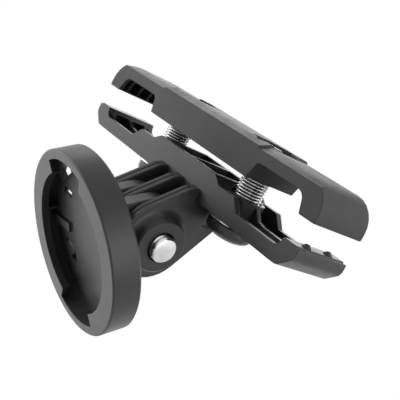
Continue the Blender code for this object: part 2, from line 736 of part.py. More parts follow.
def build_cup():
    place = cup_matrix()
    inside = CUP_DEPTH - CUP_FLOOR
    profile = [
        (0.0, CUP_DEPTH),
        (CUP_R - 0.35 * MM, CUP_DEPTH),
        (CUP_R, CUP_DEPTH - 0.35 * MM),
        (CUP_R, 0.25 * MM),
        (CUP_R - 0.25 * MM, 0.0),
        (MOUTH_R, 0.0),
        (MOUTH_R, LEDGE_THICK),
        (LUG_R, LEDGE_THICK + 0.25 * MM),
        (LUG_R, inside),
        (0.0, inside),
    ]
    body = turned("light_cup", profile, place, 64)

    # Mouth notches that let the light's lugs in
    for turn in (0.0, math.pi):
        start = LUG_CENTRE - LUG_HALF + turn
        end = LUG_CENTRE + LUG_HALF + turn
        notch = flat("lug_notch", sector(MOUTH_R - 2.0 * MM, LUG_R, start, end, 10), -2.0 * MM,
                     LEDGE_THICK + 1.0 * MM)
        boolean(body, notch, "DIFFERENCE")

    # Moulding slots in the floor under the ledge, and the slots beside the sprung tongue
    for start, end in ((124.0, 156.0), (204.0, 236.0), (304.0, 336.0), (24.0, 56.0)):
        slot = flat("core_slot", sector(11.5 * MM, 13.2 * MM, math.radians(start),
                                        math.radians(end), 6), inside - 1.0 * MM, CUP_DEPTH + 2.0 * MM)
        boolean(body, slot, "DIFFERENCE")
    for side in (-1.0, 1.0):
        ends = sorted((side * TONGUE_HALF, side * (TONGUE_HALF + TONGUE_SLOT)))
        outline = [(-9.9 * MM, ends[0]), (-4.6 * MM, ends[0]), (-4.6 * MM, ends[1]),
                   (-9.9 * MM, ends[1])]
        slot = flat("tongue_slot", outline, inside - 1.0 * MM, CUP_DEPTH + 2.0 * MM)
        boolean(body, slot, "DIFFERENCE")
    body = bake(body)

    # Raised detent on the tongue and the turn stop behind the ledge
    detent = flat("detent", [(-13.0 * MM, -2.1 * MM), (-6.9 * MM, -1.8 * MM), (-6.9 * MM, -0.3 * MM),
                             (-13.0 * MM, -0.9 * MM)], inside - 0.9 * MM, inside + 0.5 * MM, False)
    boolean(body, detent, "UNION")
    for turn in (0.0, math.pi):
        start = LUG_CENTRE + LUG_HALF + math.radians(56.0) + turn
        stop = flat("turn_stop", sector(12.9 * MM, LUG_R + 0.6 * MM, start, start + math.radians(5.0),
                                        2), LEDGE_THICK - 0.4 * MM, inside + 0.4 * MM, False)
        boolean(body, stop, "UNION")

    # Fingers between the ears
    low_high = ear_places()
    for k in (0, 1):
        middle = 0.5 * (low_high[k][1] + low_high[k + 1][0])
        finger = prism("finger", finger_outline(), middle - 0.5 * FINGER_THICK,
                       middle + 0.5 * FINGER_THICK, plane="YZ", bevel=0.25 * MM)
        # The prism lies in (Y, Z) as (axis, height); turn it onto the cup's axis
        swap = Matrix(((1.0, 0.0, 0.0, 0.0), (0.0, 0.0, 1.0, 0.0), (0.0, 1.0, 0.0, 0.0),
                       (0.0, 0.0, 0.0, 1.0)))
        frame = cup_matrix() @ Matrix.Translation((-PIN.x, 0.0, 0.0)) @ swap
        finger.data.transform(frame)
        finger.data.update()
        boolean(body, finger, "UNION")
    body = bake(body)
    bore = rod("finger_bore", BOLT_HOLE_R, -12.0 * MM, 14.0 * MM, along_x((0.0, PIN.y, PIN.z)), 32)
    boolean(body, bore, "DIFFERENCE")
    body = bake(body)
    set_origin(body, PIN)
    return finish(body, BLACK_CUP)


build_upper()
build_lower()
for label, place_x in (("left", -SCREW_X), ("right", SCREW_X)):
    build_clamp_screw("clamp_screw_" + label, place_x)
    build_washer("clamp_washer_" + label, place_x)
    build_nut("clamp_nut_" + label, place_x)
    build_spring("spring_" + label, place_x)
build_bolt()
build_insert()
build_cup()
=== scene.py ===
"""Shapes, looks, lights and camera for the saddle rail light mount.

Lengths are in metres, with +X across the saddle rails, +Y along them and +Z up.
"""

import json
import math

import bmesh
import bpy
from mathutils import Matrix, Vector

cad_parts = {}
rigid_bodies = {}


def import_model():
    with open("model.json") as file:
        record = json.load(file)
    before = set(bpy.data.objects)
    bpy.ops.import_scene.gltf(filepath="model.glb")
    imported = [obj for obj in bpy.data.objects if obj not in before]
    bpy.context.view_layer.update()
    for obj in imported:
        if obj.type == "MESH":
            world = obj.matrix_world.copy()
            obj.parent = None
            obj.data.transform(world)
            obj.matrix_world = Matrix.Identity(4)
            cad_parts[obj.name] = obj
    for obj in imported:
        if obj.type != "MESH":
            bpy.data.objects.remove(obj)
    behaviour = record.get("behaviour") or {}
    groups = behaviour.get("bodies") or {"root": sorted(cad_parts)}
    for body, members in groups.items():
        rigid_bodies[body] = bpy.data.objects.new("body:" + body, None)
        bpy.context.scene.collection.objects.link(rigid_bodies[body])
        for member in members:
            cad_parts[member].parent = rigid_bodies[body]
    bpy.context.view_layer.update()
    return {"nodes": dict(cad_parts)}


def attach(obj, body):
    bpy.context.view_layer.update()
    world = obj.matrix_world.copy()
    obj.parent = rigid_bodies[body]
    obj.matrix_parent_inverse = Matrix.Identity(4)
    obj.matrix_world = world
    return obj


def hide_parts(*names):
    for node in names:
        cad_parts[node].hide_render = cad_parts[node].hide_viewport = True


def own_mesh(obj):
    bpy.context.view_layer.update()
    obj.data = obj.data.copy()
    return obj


MM = 0.001

# Camera: place in millimetres, the directions of the picture's right, down and forward, and
# the focal length in pixels of the 400 pixel wide picture.
CAMERA_AT = (98.714, -88.735, 13.947)
PICTURE_RIGHT = (0.538477, 0.700551, 0.468265)
PICTURE_DOWN = (0.426412, 0.252762, -0.868495)
PICTURE_FORWARD = (-0.726784, 0.667338, -0.162617)
FOCAL_PIXELS = 735.72
PICTURE_PIXELS = 400.0
SENSOR_MM = 36.0
NEAR_CLIP = 0.005
FAR_CLIP = 20.0

# Floor and backdrop
FLOOR_Z = -0.30
FLOOR_HALF = 3.0
FLOOR_COLOR = (0.80, 0.80, 0.80, 1.0)
FLOOR_ROUGH = 0.9
WHITE = (1.0, 1.0, 1.0, 1.0)
WORLD_FILL = 0.05

# Soft boxes: azimuth and elevation in degrees as seen from the part, and brightness.
SOFT_BOXES = (
    (-155.0, -8.0, 1.07), (-120.0, -42.0, 2.4), (-168.0, -35.0, 0.36), (-135.0, 15.0, 2.2),
    (30.0, 38.0, 1.7), (5.0, 12.0, 2.1), (40.0, 12.0, 0.35), (150.0, 38.0, 1.9),
    (135.0, 12.0, 1.3),
)
LAMP_AWAY = 0.36
LAMP_HALF_ANGLE = 22.0
LAMP_AIM = (0.0, 0.0, -0.008)

# How far cutters reach past what they cut, the distance at which points are one, the share
# of a side that its two arcs may take, the turn of one arc step, and the sides of round forms
CUT_MARGIN = 1.0 * MM
SAME_POINT = 1e-6
ARC_SHARE = 0.98
ARC_STEP = math.radians(16.0)
HOLE_SIDES = 24
BORE_SIDES = 32
RING_SIDES = 40
CUP_SIDES = 64

# Rails and jaws
RAIL_R = 3.5 * MM
RAIL_X = 22.0 * MM
ROOF_SPARE = 1.0 * MM
FLOOR_SPARE = 0.9 * MM
UPPER_BASE_Z = 1.4 * MM
JAW_DEPTH = 12.0 * MM
NOTCH_TO_CENTRE = 6.6 * MM
NOTCH_TO_HOOK = 6.8 * MM
NOTCH_DRAFT = 1.0 * MM
HOOK_THICK = 3.5 * MM
HOOK_ROUND = 4.8 * MM
NOTCH_INNER_ROUND = 1.0 * MM
NOTCH_OUTER_ROUND = 1.9 * MM
POCKET_LIP = 0.35 * MM
POCKET_RISE = 0.5 * MM
POCKET_ROUND = 1.6 * MM
HOOK_SKIN = 1.0 * MM
HOOK_RIB = 0.45 * MM
HOOK_RIB_PITCH = 2.6 * MM
HOOK_RIBS = 4
FLANGE = 0.85 * MM
UPPER_HEIGHT = 5.95 * MM
PLATEAU_RISE = 0.4 * MM
PLATEAU_SETBACK = 0.7 * MM
EDGE = 0.35 * MM
UPPER_EDGE = 0.38 * MM
TOP_SLOPE_DROP = 0.9 * MM
TOP_SLOPE_WIDTH = 2.4 * MM
TOP_SLOPE_PAST_HIGH = 0.2 * MM
TOP_SLOPE_PAST_LOW = 0.17 * MM

# Lower jaw, heights below the upper jaw's flat underside
MID_DROP = 2.45 * MM
SEAT_DROP = 3.72 * MM
LIP_DROP = 4.05 * MM
LIP_STEP = 0.2 * MM
LIP_STEP_WIDTH = 0.75 * MM
BASE_DROP = 8.2 * MM
TIP_SAG = 0.05 * MM
FLOOR_TO_CENTRE = 4.5 * MM
FLOOR_TO_LIP = 6.3 * MM
WALL = 1.2 * MM
SHELL_FLOOR = 1.5 * MM
RIB = 0.9 * MM
TIP_ROOF = 0.9 * MM
TIP_WALL = 1.5 * MM
TIP_POCKET = 3.4 * MM
FIN_RISE = 0.6 * MM
FIN_SUNK = 0.5 * MM
FIN_WIDTH = 0.8 * MM
FIN_Y = 2.7 * MM

# Clamp screws, springs, nuts and washers
SCREW_INSET = 9.9 * MM
SCREW_R = 1.8 * MM
SCREW_PLAY = 0.32 * MM
WASHER_R = 4.75 * MM
SPOT_FACE = 0.2 * MM
SPRING_R = 2.36 * MM
SPRING_WIRE_R = 0.18 * MM
SPRING_PITCH = 0.53 * MM
SPRING_STEPS = 36
WIRE_SIDES = 10
THREAD_PITCH = 0.8 * MM
THREAD_DEPTH = 0.28 * MM
THREAD_LENGTH = 4.0 * MM
THREAD_STEPS = 10
SPRING_POCKET_R = 2.95 * MM
SPRING_POCKET_DEEP = 1.1 * MM
SCREW_BOSS_WALL = 0.6 * MM
NUT_FLATS = 7.0 * MM
HEX_RATIO = math.cos(math.radians(30.0))
NUT_POCKET_DEEP = 3.05 * MM
NUT_SUNK = 0.95 * MM
GAP = 0.3 * MM

# Tilt hinge
PIN = Vector((1.125 * MM, -9.4 * MM, UPPER_BASE_Z - 17.3 * MM))
BOLT_R = 2.4 * MM
BOLT_SIDES = 72
BOLT_DOME_STEPS = 10
BOLT_CHAMFER = 0.35 * MM
BOLT_SOCKET_R = 1.75 * MM
BOLT_SOCKET_DEEP = 1.6 * MM
BOLT_TIP_OUT = 1.3 * MM
BOLT_HEAD_R = 4.75 * MM
BOLT_HEAD_HEIGHT = 2.75 * MM
BOSS_WALL = 2.4 * MM
BOSS_RISE = 2.1 * MM
BACK_BOSS_RISE = 0.7 * MM
EAR_RIM = 2.2 * MM
EAR_THICK = 2.05 * MM
EAR_PITCH = 5.25 * MM
EAR_FRONT_DROP = 6.1 * MM
EAR_SLOPE = math.radians(40.6)
EAR_KNEE = 1.75 * MM
EAR_REAR_Y = 4.7 * MM
EAR_SUNK = 0.9 * MM
GROOVE_R = 0.24 * MM
ROOT_SIZE = 2.0 * MM
ROOT_STRETCH = 1.5
INSERT_WALL = 0.8 * MM
INSERT_LENGTH = 2.3 * MM

# Quarter-turn cup
CUP_TILT = math.radians(29.9)
CUP_OFFSET = 0.2 * MM
CUP_REACH = 12.75 * MM
CUP_R = 16.0 * MM
CUP_DEPTH = 5.0 * MM
CUP_FLOOR = 1.6 * MM
CUP_WALL = 1.65 * MM
LEDGE_THICK = 1.4 * MM
LEDGE_WIDTH = 2.2 * MM
LUG_CENTRE = math.radians(97.0)
LUG_HALF = math.radians(25.5)
PIT_R = 0.27 * MM
PIT_DEEP = 0.6 * MM
PIT_INSET = 0.32 * MM
PIT_HEIGHTS = (-0.2 * MM, -1.25 * MM)
PIT_SIDES = 10
STOP_ANGLE = math.radians(178.3)
STOP_WIDTH = math.radians(2.2)
STOP_REACH = 1.95 * MM
FINGER_THICK = 2.7 * MM
TONGUE_HALF = 4.6 * MM
TONGUE_SLOT = 1.15 * MM
TONGUE_ROOT_X = -6.5 * MM
TONGUE_LENGTH = 3.3 * MM
TONGUE_LEAF = 0.55 * MM
TONGUE_THINNED = 1.6 * MM
TONGUE_PAST_TIP = 1.8 * MM

# Moulding slots in the cup's floor: their width and usual inset, then for each one the first
# and last angle in degrees and its own inset
CORE_SLOT = 1.7 * MM
CORE_INSET = 1.15 * MM
CORE_SLOTS = ((124.0, 151.0, 0.1 * MM), (304.0, 320.0, CORE_INSET), (40.0, 56.0, CORE_INSET))

# Window under the tongue: how far below it starts, and its corners from the tongue's root
WINDOW_DROP = 3.25 * MM
WINDOW_CORNERS = ((-1.2 * MM, 0.0), (1.4 * MM, 0.0), (0.9 * MM, 2.0 * MM))

# Raised detent on the tongue: its ends' insets, each end's two heights, and how proud it is
DETENT_TIP_INSET = 1.1 * MM
DETENT_ROOT_INSET = 0.3 * MM
DETENT_TIP = (-2.7 * MM, -1.35 * MM)
DETENT_ROOT = (-2.2 * MM, -0.5 * MM)
DETENT_RISE = 0.6 * MM

# Looks: the plastic's grey level, gloss, edge radius and texture depth; the metal's last two
PLASTIC_LEVEL = 0.05
PLASTIC_GLOSS = 0.3
PLASTIC_EDGE = 0.22 * MM
PLASTIC_BUMP = 0.04 * MM
METAL_EDGE = 0.12 * MM
METAL_BUMP = 0.02 * MM

# Sizes that follow from the ones above
NOTCH_IN = RAIL_X - NOTCH_TO_CENTRE
NOTCH_OUT = RAIL_X + NOTCH_TO_HOOK
NOTCH_RISE = RAIL_R + ROOF_SPARE - UPPER_BASE_Z
JAW_HALF = NOTCH_OUT + HOOK_THICK
PLATEAU_HALF = NOTCH_IN - PLATEAU_SETBACK
SCREW_X = RAIL_X - SCREW_INSET
SEAT_IN = SCREW_X - 1.2 * MM
SEAT_OUT = SCREW_X + 3.25 * MM
MID_HALF = SEAT_IN - 2.0 * MM
FLOOR_DROP = UPPER_BASE_Z + RAIL_R + FLOOR_SPARE
FLOOR_IN = RAIL_X - FLOOR_TO_CENTRE
FLOOR_OUT = RAIL_X + FLOOR_TO_LIP
LIP_IN = FLOOR_OUT + 0.35 * MM
SCREW_HOLE_R = SCREW_R + SCREW_PLAY
SCREW_BOSS_R = SPRING_POCKET_R + SCREW_BOSS_WALL
BOLT_HOLE_R = BOLT_R + GAP
INSERT_R = BOLT_HOLE_R + INSERT_WALL
BOSS_R = BOLT_R + BOSS_WALL
EAR_R = BOSS_R + EAR_RIM
LUG_R = CUP_R - CUP_WALL
MOUTH_R = LUG_R - LEDGE_WIDTH
Y_FRONT = -0.5 * JAW_DEPTH
Y_REAR = 0.5 * JAW_DEPTH


def link(name, data, cutter=False):
    """New object of a mesh or curve, put with the shapes or with the cutters."""
    obj = bpy.data.objects.new(name, data)
    (CUTTERS if cutter else SHAPES).objects.link(obj)
    return obj


def finish(obj, smooth_angle=35.0):
    """Smooth shading, with sharp edges above an angle."""
    obj.data.shade_smooth()
    obj.data.set_sharp_from_angle(angle=math.radians(smooth_angle))
    return obj


def as_mesh(obj, name, cutter=False):
    """Turn a curve, or an object with modifiers, into a plain mesh object at the same place."""
    bpy.context.view_layer.update()
    deps = bpy.context.evaluated_depsgraph_get()
    mesh = bpy.data.meshes.new_from_object(obj.evaluated_get(deps))
    bm = bmesh.new()
    bm.from_mesh(mesh)
    bmesh.ops.remove_doubles(bm, verts=bm.verts, dist=SAME_POINT)
    bmesh.ops.transform(bm, matrix=obj.matrix_world, verts=bm.verts)
    bmesh.ops.recalc_face_normals(bm, faces=bm.faces)
    bm.to_mesh(mesh)
    bm.free()
    mesh.name = name
    bpy.data.objects.remove(obj, do_unlink=True)
    return link(name, mesh, cutter)


def rounded(corners, steps):
    """Outline through corners given as (a, b, radius), each corner replaced by its arc."""
    out = []
    count = len(corners)
    for i in range(count):
        p = Vector(corners[i][:2])
        radius = corners[i][2]
        if radius <= 0.0:
            out.append((p.x, p.y))
            continue
        to_prev = Vector(corners[i - 1][:2]) - p
        to_next = Vector(corners[(i + 1) % count][:2]) - p
        u = to_prev.normalized()
        v = to_next.normalized()
        half = 0.5 * u.angle(v)
        share_prev = ARC_SHARE * radius / (radius + corners[i - 1][2])
        share_next = ARC_SHARE * radius / (radius + corners[(i + 1) % count][2])
        reach = min(radius / math.tan(half), share_prev * to_prev.length,
                    share_next * to_next.length)
        radius = reach * math.tan(half)
        centre = p + (u + v).normalized() * (radius / math.sin(half))
        a = p + u * reach - centre
        b = p + v * reach - centre
        turn = math.atan2(a.x * b.y - a.y * b.x, a.dot(b))
        arcs = max(1, min(steps, int(math.ceil(abs(turn) / ARC_STEP))))
        for k in range(arcs + 1):
            ang = turn * k / arcs
            c = math.cos(ang)
            s = math.sin(ang)
            out.append((centre.x + a.x * c - a.y * s, centre.y + a.x * s + a.y * c))
    return out


def mirrored(half):
    """Full outline from a right half that starts and ends at the middle plane."""
    left = [(-p[0],) + tuple(p[1:]) for p in reversed(half)]
    return half + [p for p in left if abs(p[0]) > 0.1 * SAME_POINT]


def bevelled(obj, width, segments, sharper_than):
    """Bevel the edges that turn by more than an angle in degrees."""
    mod = obj.modifiers.new("edges", "BEVEL")
    mod.width = width
    mod.segments = segments
    mod.limit_method = "ANGLE"
    mod.angle_limit = math.radians(sharper_than)


def prism(name, outline, low, high, plane="XZ", cutter=False, bevel=0.0):
    """Flat outline extruded from low to high, across Y for plane XZ, X for YZ, Z for XY."""
    curve = bpy.data.curves.new(name, "CURVE")
    curve.dimensions = "2D"
    curve.fill_mode = "BOTH"
    spline = curve.splines.new("POLY")
    spline.points.add(len(outline) - 1)
    for point, (a, b) in zip(spline.points, outline):
        point.co = (a, b, 0.0, 1.0)
    spline.use_cyclic_u = True
    curve.extrude = 0.5 * abs(high - low)
    obj = link(name, curve, cutter)
    mid = 0.5 * (low + high)
    if plane == "XZ":
        obj.rotation_euler = (math.radians(90.0), 0.0, 0.0)
        obj.location = (0.0, mid, 0.0)
    elif plane == "YZ":
        obj.rotation_euler = (math.radians(90.0), 0.0, math.radians(90.0))
        obj.location = (mid, 0.0, 0.0)
    else:
        obj.location = (0.0, 0.0, mid)
    obj = as_mesh(obj, name, cutter)
    if bevel > 0.0:
        bevelled(obj, bevel, 1, 60.0)
        obj = as_mesh(obj, name, cutter)
    return obj


def solid(name, bm, cutter=False):
    """Object made of a finished bmesh."""
    mesh = bpy.data.meshes.new(name)
    bm.to_mesh(mesh)
    bm.free()
    return link(name, mesh, cutter)


def cuboid(name, low, high):
    """Box-shaped cutter between two corners."""
    bm = bmesh.new()
    bmesh.ops.create_cube(bm, size=1.0)
    size = Vector(high) - Vector(low)
    centre = 0.5 * (Vector(high) + Vector(low))
    bmesh.ops.scale(bm, vec=size, verts=bm.verts)
    bmesh.ops.translate(bm, vec=centre, verts=bm.verts)
    return solid(name, bm, True)


def turned(name, profile, matrix, segments):
    """Closed solid of revolution: profile of (radius, height) from the top down, about local Z."""
    mesh = bpy.data.meshes.new(name)
    verts = [(r, 0.0, h) for r, h in profile]
    mesh.from_pydata(verts, [(i, i + 1) for i in range(len(verts) - 1)], [])
    obj = link(name, mesh)
    mod = obj.modifiers.new("turn", "SCREW")
    mod.axis = "Z"
    mod.angle = math.radians(360.0)
    mod.steps = segments
    mod.render_steps = segments
    mod.use_merge_vertices = True
    mod.merge_threshold = 10.0 * SAME_POINT
    mod.use_smooth_shade = True
    obj.matrix_world = matrix
    return as_mesh(obj, name)


def rod(name, radius, low, high, matrix, segments, cutter=True):
    """Straight cylinder or prism along the matrix's Z axis, from low to high."""
    bm = bmesh.new()
    bmesh.ops.create_cone(bm, cap_ends=True, segments=segments, radius1=radius,
                          radius2=radius, depth=high - low)
    place = matrix @ Matrix.Translation((0.0, 0.0, 0.5 * (low + high)))
    bmesh.ops.transform(bm, matrix=place, verts=bm.verts)
    return solid(name, bm, cutter)


def boolean(obj, other, operation):
    """Join, cut or intersect an object with another one once it is baked."""
    mod = obj.modifiers.new(operation.lower(), "BOOLEAN")
    mod.operation = operation
    mod.solver = "EXACT"
    mod.object = other


def cut(obj, cutter):
    """Take a cutter's shape away from an object."""
    boolean(obj, cutter, "DIFFERENCE")


def join(obj, piece):
    """Add a piece's shape to an object."""
    boolean(obj, piece, "UNION")


def bake(obj, cutter=False):
    """Apply all the modifiers and drop the joined shapes that are not cutters."""
    name = obj.name
    joined = [m.object for m in obj.modifiers if m.type == "BOOLEAN" and m.operation == "UNION"]
    result = as_mesh(obj, name, cutter)
    for other in joined:
        bpy.data.objects.remove(other, do_unlink=True)
    return result


def round_cutter(name, route, radius, resolution):
    """Cutter with a round section along a route of points."""
    path = bpy.data.curves.new(name, "CURVE")
    path.dimensions = "3D"
    path.bevel_depth = radius
    path.bevel_resolution = resolution
    path.use_fill_caps = True
    spline = path.splines.new("POLY")
    spline.points.add(len(route) - 1)
    for point, (x, y, z) in zip(spline.points, route):
        point.co = (x, y, z, 1.0)
    return as_mesh(link(name, path, True), name, True)


def upright(x):
    """Local Z points up, at the given X."""
    return Matrix.Translation((x, 0.0, 0.0))


def along_x(point):
    """Local Z points along +X, through the given point."""
    return Matrix.Translation(point) @ Matrix.Rotation(math.radians(90.0), 4, "Y")


def at_z(points, base):
    """Outline points with their heights counted from a base height."""
    return [(p[0], p[1] + base) + tuple(p[2:]) for p in points]


# ---------------- upper jaw
def upper_outline():
    """The upper jaw's front view, with its corners' radii."""
    top = UPPER_HEIGHT + PLATEAU_RISE
    half = [
        (0.0, 0.0, 0.0),
        (NOTCH_IN, 0.0, 0.2 * MM),
        (NOTCH_IN + NOTCH_DRAFT, NOTCH_RISE, NOTCH_INNER_ROUND),
        (NOTCH_OUT - 1.2 * NOTCH_DRAFT, NOTCH_RISE, NOTCH_OUTER_ROUND),
        (NOTCH_OUT, 0.0, 0.25 * MM),
        (JAW_HALF - 0.05 * MM, 0.0, 0.3 * MM),
        (JAW_HALF, 0.5 * MM, 0.5 * MM),
        (JAW_HALF, UPPER_HEIGHT, HOOK_ROUND),
        (PLATEAU_HALF + PLATEAU_RISE, UPPER_HEIGHT, 0.0),
        (PLATEAU_HALF, top, 0.0),
        (0.0, top, 0.0),
    ]
    return rounded(at_z(mirrored(half), UPPER_BASE_Z), 8)


def hook_pockets(side):
    """Cutters between the thin ribs inside a hook, open towards the rail."""
    ribs = [HOOK_RIB_PITCH * (k - 0.5 * (HOOK_RIBS - 1)) for k in range(HOOK_RIBS)]
    lows = [Y_FRONT + FLANGE] + [y + 0.5 * HOOK_RIB for y in ribs]
    highs = [y - 0.5 * HOOK_RIB for y in ribs] + [Y_REAR - FLANGE]
    roof = UPPER_BASE_Z + NOTCH_RISE
    inner = NOTCH_OUT - 1.6 * NOTCH_DRAFT
    outer = JAW_HALF - HOOK_SKIN
    outline = rounded([
        (inner, UPPER_BASE_Z + POCKET_LIP, 0.0),
        (outer, UPPER_BASE_Z + POCKET_LIP, 0.0),
        (outer, roof + POCKET_RISE, POCKET_ROUND),
        (inner, roof + POCKET_RISE, 0.0),
    ], 3)
    outline = [(side * a, b) for a, b in outline]
    return [prism("hook_pocket", outline, a, b, cutter=True) for a, b in zip(lows, highs)]


def front_slope(low_x, high_x, top):
    """Cutter that slopes the front of the upper jaw's top down to its front face."""
    before = Y_FRONT - CUT_MARGIN
    outline = [(before, top - TOP_SLOPE_DROP * (1.0 + CUT_MARGIN / TOP_SLOPE_WIDTH)),
               (Y_FRONT + 2.0 * TOP_SLOPE_WIDTH, top + TOP_SLOPE_DROP),
               (before, top + TOP_SLOPE_DROP)]
    return prism("front_slope", outline, low_x, high_x, plane="YZ", cutter=True)


def build_upper():
    """Upper jaw: sloped top, hook pockets, screw holes, nut pockets."""
    body = prism("upper_jaw_moulding", upper_outline(), Y_FRONT, Y_REAR)
    top = UPPER_BASE_Z + UPPER_HEIGHT + PLATEAU_RISE
    middle = PLATEAU_HALF + TOP_SLOPE_PAST_HIGH
    cut(body, front_slope(-middle, middle, top))
    near, far = PLATEAU_HALF + TOP_SLOPE_PAST_LOW, JAW_HALF + CUT_MARGIN
    for low, high in ((-far, -near), (near, far)):
        cut(body, front_slope(low, high, top - PLATEAU_RISE))
    body = bake(body)
    bevelled(body, UPPER_EDGE, 3, 50.0)
    body = bake(body)
    for side in (-1.0, 1.0):
        for pocket in hook_pockets(side):
            cut(body, pocket)
        x = side * SCREW_X
        hole = rod("screw_hole", SCREW_HOLE_R, UPPER_BASE_Z - CUT_MARGIN, top + CUT_MARGIN,
                   upright(x), HOLE_SIDES)
        cut(body, hole)
        hexagon = rod("nut_pocket", (0.5 * NUT_FLATS + GAP) / HEX_RATIO,
                      top - NUT_POCKET_DEEP, top + CUT_MARGIN, upright(x), 6)
        cut(body, hexagon)
        seat = rod("spring_seat", SPRING_POCKET_R, UPPER_BASE_Z - CUT_MARGIN,
                   UPPER_BASE_Z + SPRING_POCKET_DEEP, upright(x), HOLE_SIDES)
        cut(body, seat)
    return finish(bake(body))


# ---------------- lower jaw
def lower_outline():
    """The lower jaw's front view, with its corners' radii."""
    step_x = JAW_HALF - LIP_STEP_WIDTH
    sag = BASE_DROP + TIP_SAG
    half = [
        (0.0, -MID_DROP, 0.0),
        (MID_HALF, -MID_DROP, 0.5 * MM),
        (SEAT_IN, -SEAT_DROP, 0.3 * MM),
        (SEAT_OUT, -SEAT_DROP, 0.2 * MM),
        (FLOOR_IN, -FLOOR_DROP, 0.3 * MM),
        (FLOOR_OUT, -FLOOR_DROP, 1.5 * MM),
        (LIP_IN, -LIP_DROP, 0.15 * MM),
        (step_x, -LIP_DROP, 0.0),
        (step_x, -LIP_DROP - LIP_STEP, 0.0),
        (JAW_HALF, -LIP_DROP - LIP_STEP, 0.3 * MM),
        (JAW_HALF, -LIP_DROP - 2.05 * MM, 1.6 * MM),
        (JAW_HALF - 2.55 * MM, -sag + 0.05 * MM, 1.2 * MM),
        (FLOOR_OUT - 0.8 * MM, -sag, 1.0 * MM),
        (FLOOR_IN - 1.5 * MM, -BASE_DROP, 1.0 * MM),
        (0.0, -BASE_DROP, 0.0),
    ]
    half.reverse()
    return rounded(at_z(mirrored(half), UPPER_BASE_Z), 4)


def rail_hollow(side):
    """Cutter for the hollow under a rail, which leaves the screw boss and the middle rib."""
    floor = UPPER_BASE_Z - BASE_DROP + SHELL_FLOOR
    ends = sorted((side * SCREW_X, side * (FLOOR_OUT + 0.1 * MM)))
    hollow = cuboid("rail_hollow", (ends[0], Y_FRONT + WALL, floor),
                    (ends[1], Y_REAR - WALL, UPPER_BASE_Z))
    boss = rod("boss_core", SCREW_BOSS_R, floor - CUT_MARGIN, UPPER_BASE_Z + CUT_MARGIN,
               upright(side * SCREW_X), BORE_SIDES)
    cut(hollow, boss)
    boss_top = -SEAT_DROP - 0.25 * MM
    low_point = -FLOOR_DROP - 0.2 * MM
    curve = [
        (SCREW_X, -BASE_DROP, 0.0),
        (FLOOR_OUT + 1.0 * MM, -BASE_DROP, 0.0),
        (FLOOR_OUT + 1.0 * MM, -LIP_DROP - TIP_ROOF, 0.0),
        (FLOOR_OUT - 3.0 * MM, low_point, 3.0 * MM),
        (FLOOR_IN + 0.8 * MM, low_point, 2.0 * MM),
        (SCREW_X + SCREW_BOSS_R - 0.2 * MM, boss_top, 0.0),
        (SCREW_X, boss_top, 0.0),
    ]
    outline = [(side * a, b) for a, b in rounded(at_z(curve, UPPER_BASE_Z), 6)]
    cut(hollow, prism("rib_core", outline, -0.5 * RIB, 0.5 * RIB, cutter=True))
    return bake(hollow, cutter=True)


def tip_pockets(side):
    """Cutters that core the jaw's tip from the channel, on each side of the middle rib."""
    floor = UPPER_BASE_Z - BASE_DROP + SHELL_FLOOR
    roof = UPPER_BASE_Z - LIP_DROP - TIP_ROOF
    ends = sorted((side * (FLOOR_OUT - 0.3 * MM), side * (JAW_HALF - TIP_WALL)))
    return [cuboid("tip_pocket", (ends[0], low, floor), (ends[1], low + TIP_POCKET, roof))
            for low in (0.5 * RIB, -0.5 * RIB - TIP_POCKET)]


def tangent_angle(point, centre, radius):
    """Angle at which the tangent from an outer point touches a circle, on the clockwise side."""
    away = point - centre
    return math.atan2(away.y, away.x) - math.acos(radius / away.length)


def ear_outline():
    """Side view of an ear in Y and Z: an arc about the pin, a front flank, a rear flank."""
    centre = Vector((PIN.y, PIN.z))
    along = Vector((math.cos(EAR_SLOPE), math.sin(EAR_SLOPE)))
    ang_front = EAR_SLOPE + math.radians(90.0)
    touch = centre + EAR_R * Vector((math.cos(ang_front), math.sin(ang_front)))
    knee = touch + along * ((Y_FRONT - EAR_KNEE - touch.x) / along.x)
    front = Vector((Y_FRONT, UPPER_BASE_Z - EAR_FRONT_DROP))
    rear_top = Vector((EAR_REAR_Y, UPPER_BASE_Z - BASE_DROP + EAR_SUNK))
    ang_rear = tangent_angle(rear_top, centre, EAR_R)
    while ang_rear < ang_front:
        ang_rear += 2.0 * math.pi
    steps = 20
    corners = []
    for k in range(steps + 1):
        ang = ang_front + (ang_rear - ang_front) * k / steps
        corners.append((centre.x + EAR_R * math.cos(ang), centre.y + EAR_R * math.sin(ang), 0.0))
    inside = Y_FRONT + 0.7 * WALL
    corners += [
        (rear_top.x, rear_top.y, 0.0),
        (inside, rear_top.y, 0.0),
        (inside, front.y + 0.3 * MM, 0.0),
        (front.x, front.y, 0.0),
        (knee.x, knee.y, 2.5 * MM),
    ]
    return rounded(corners, 4)


def ear_places():
    """Low and high X of the three ears, from -X to +X."""
    middles = [PIN.x + k * EAR_PITCH for k in (-1, 0, 1)]
    return [(middle - 0.5 * EAR_THICK, middle + 0.5 * EAR_THICK) for middle in middles]


def ear_groove(x):
    """Cutter for the shallow groove along the narrow front edge of an ear."""
    outline = ear_outline()
    route = [(x, y, z) for y, z in outline[-3:] + outline[:12]]
    return round_cutter("ear_groove", route, GROOVE_R, 2)


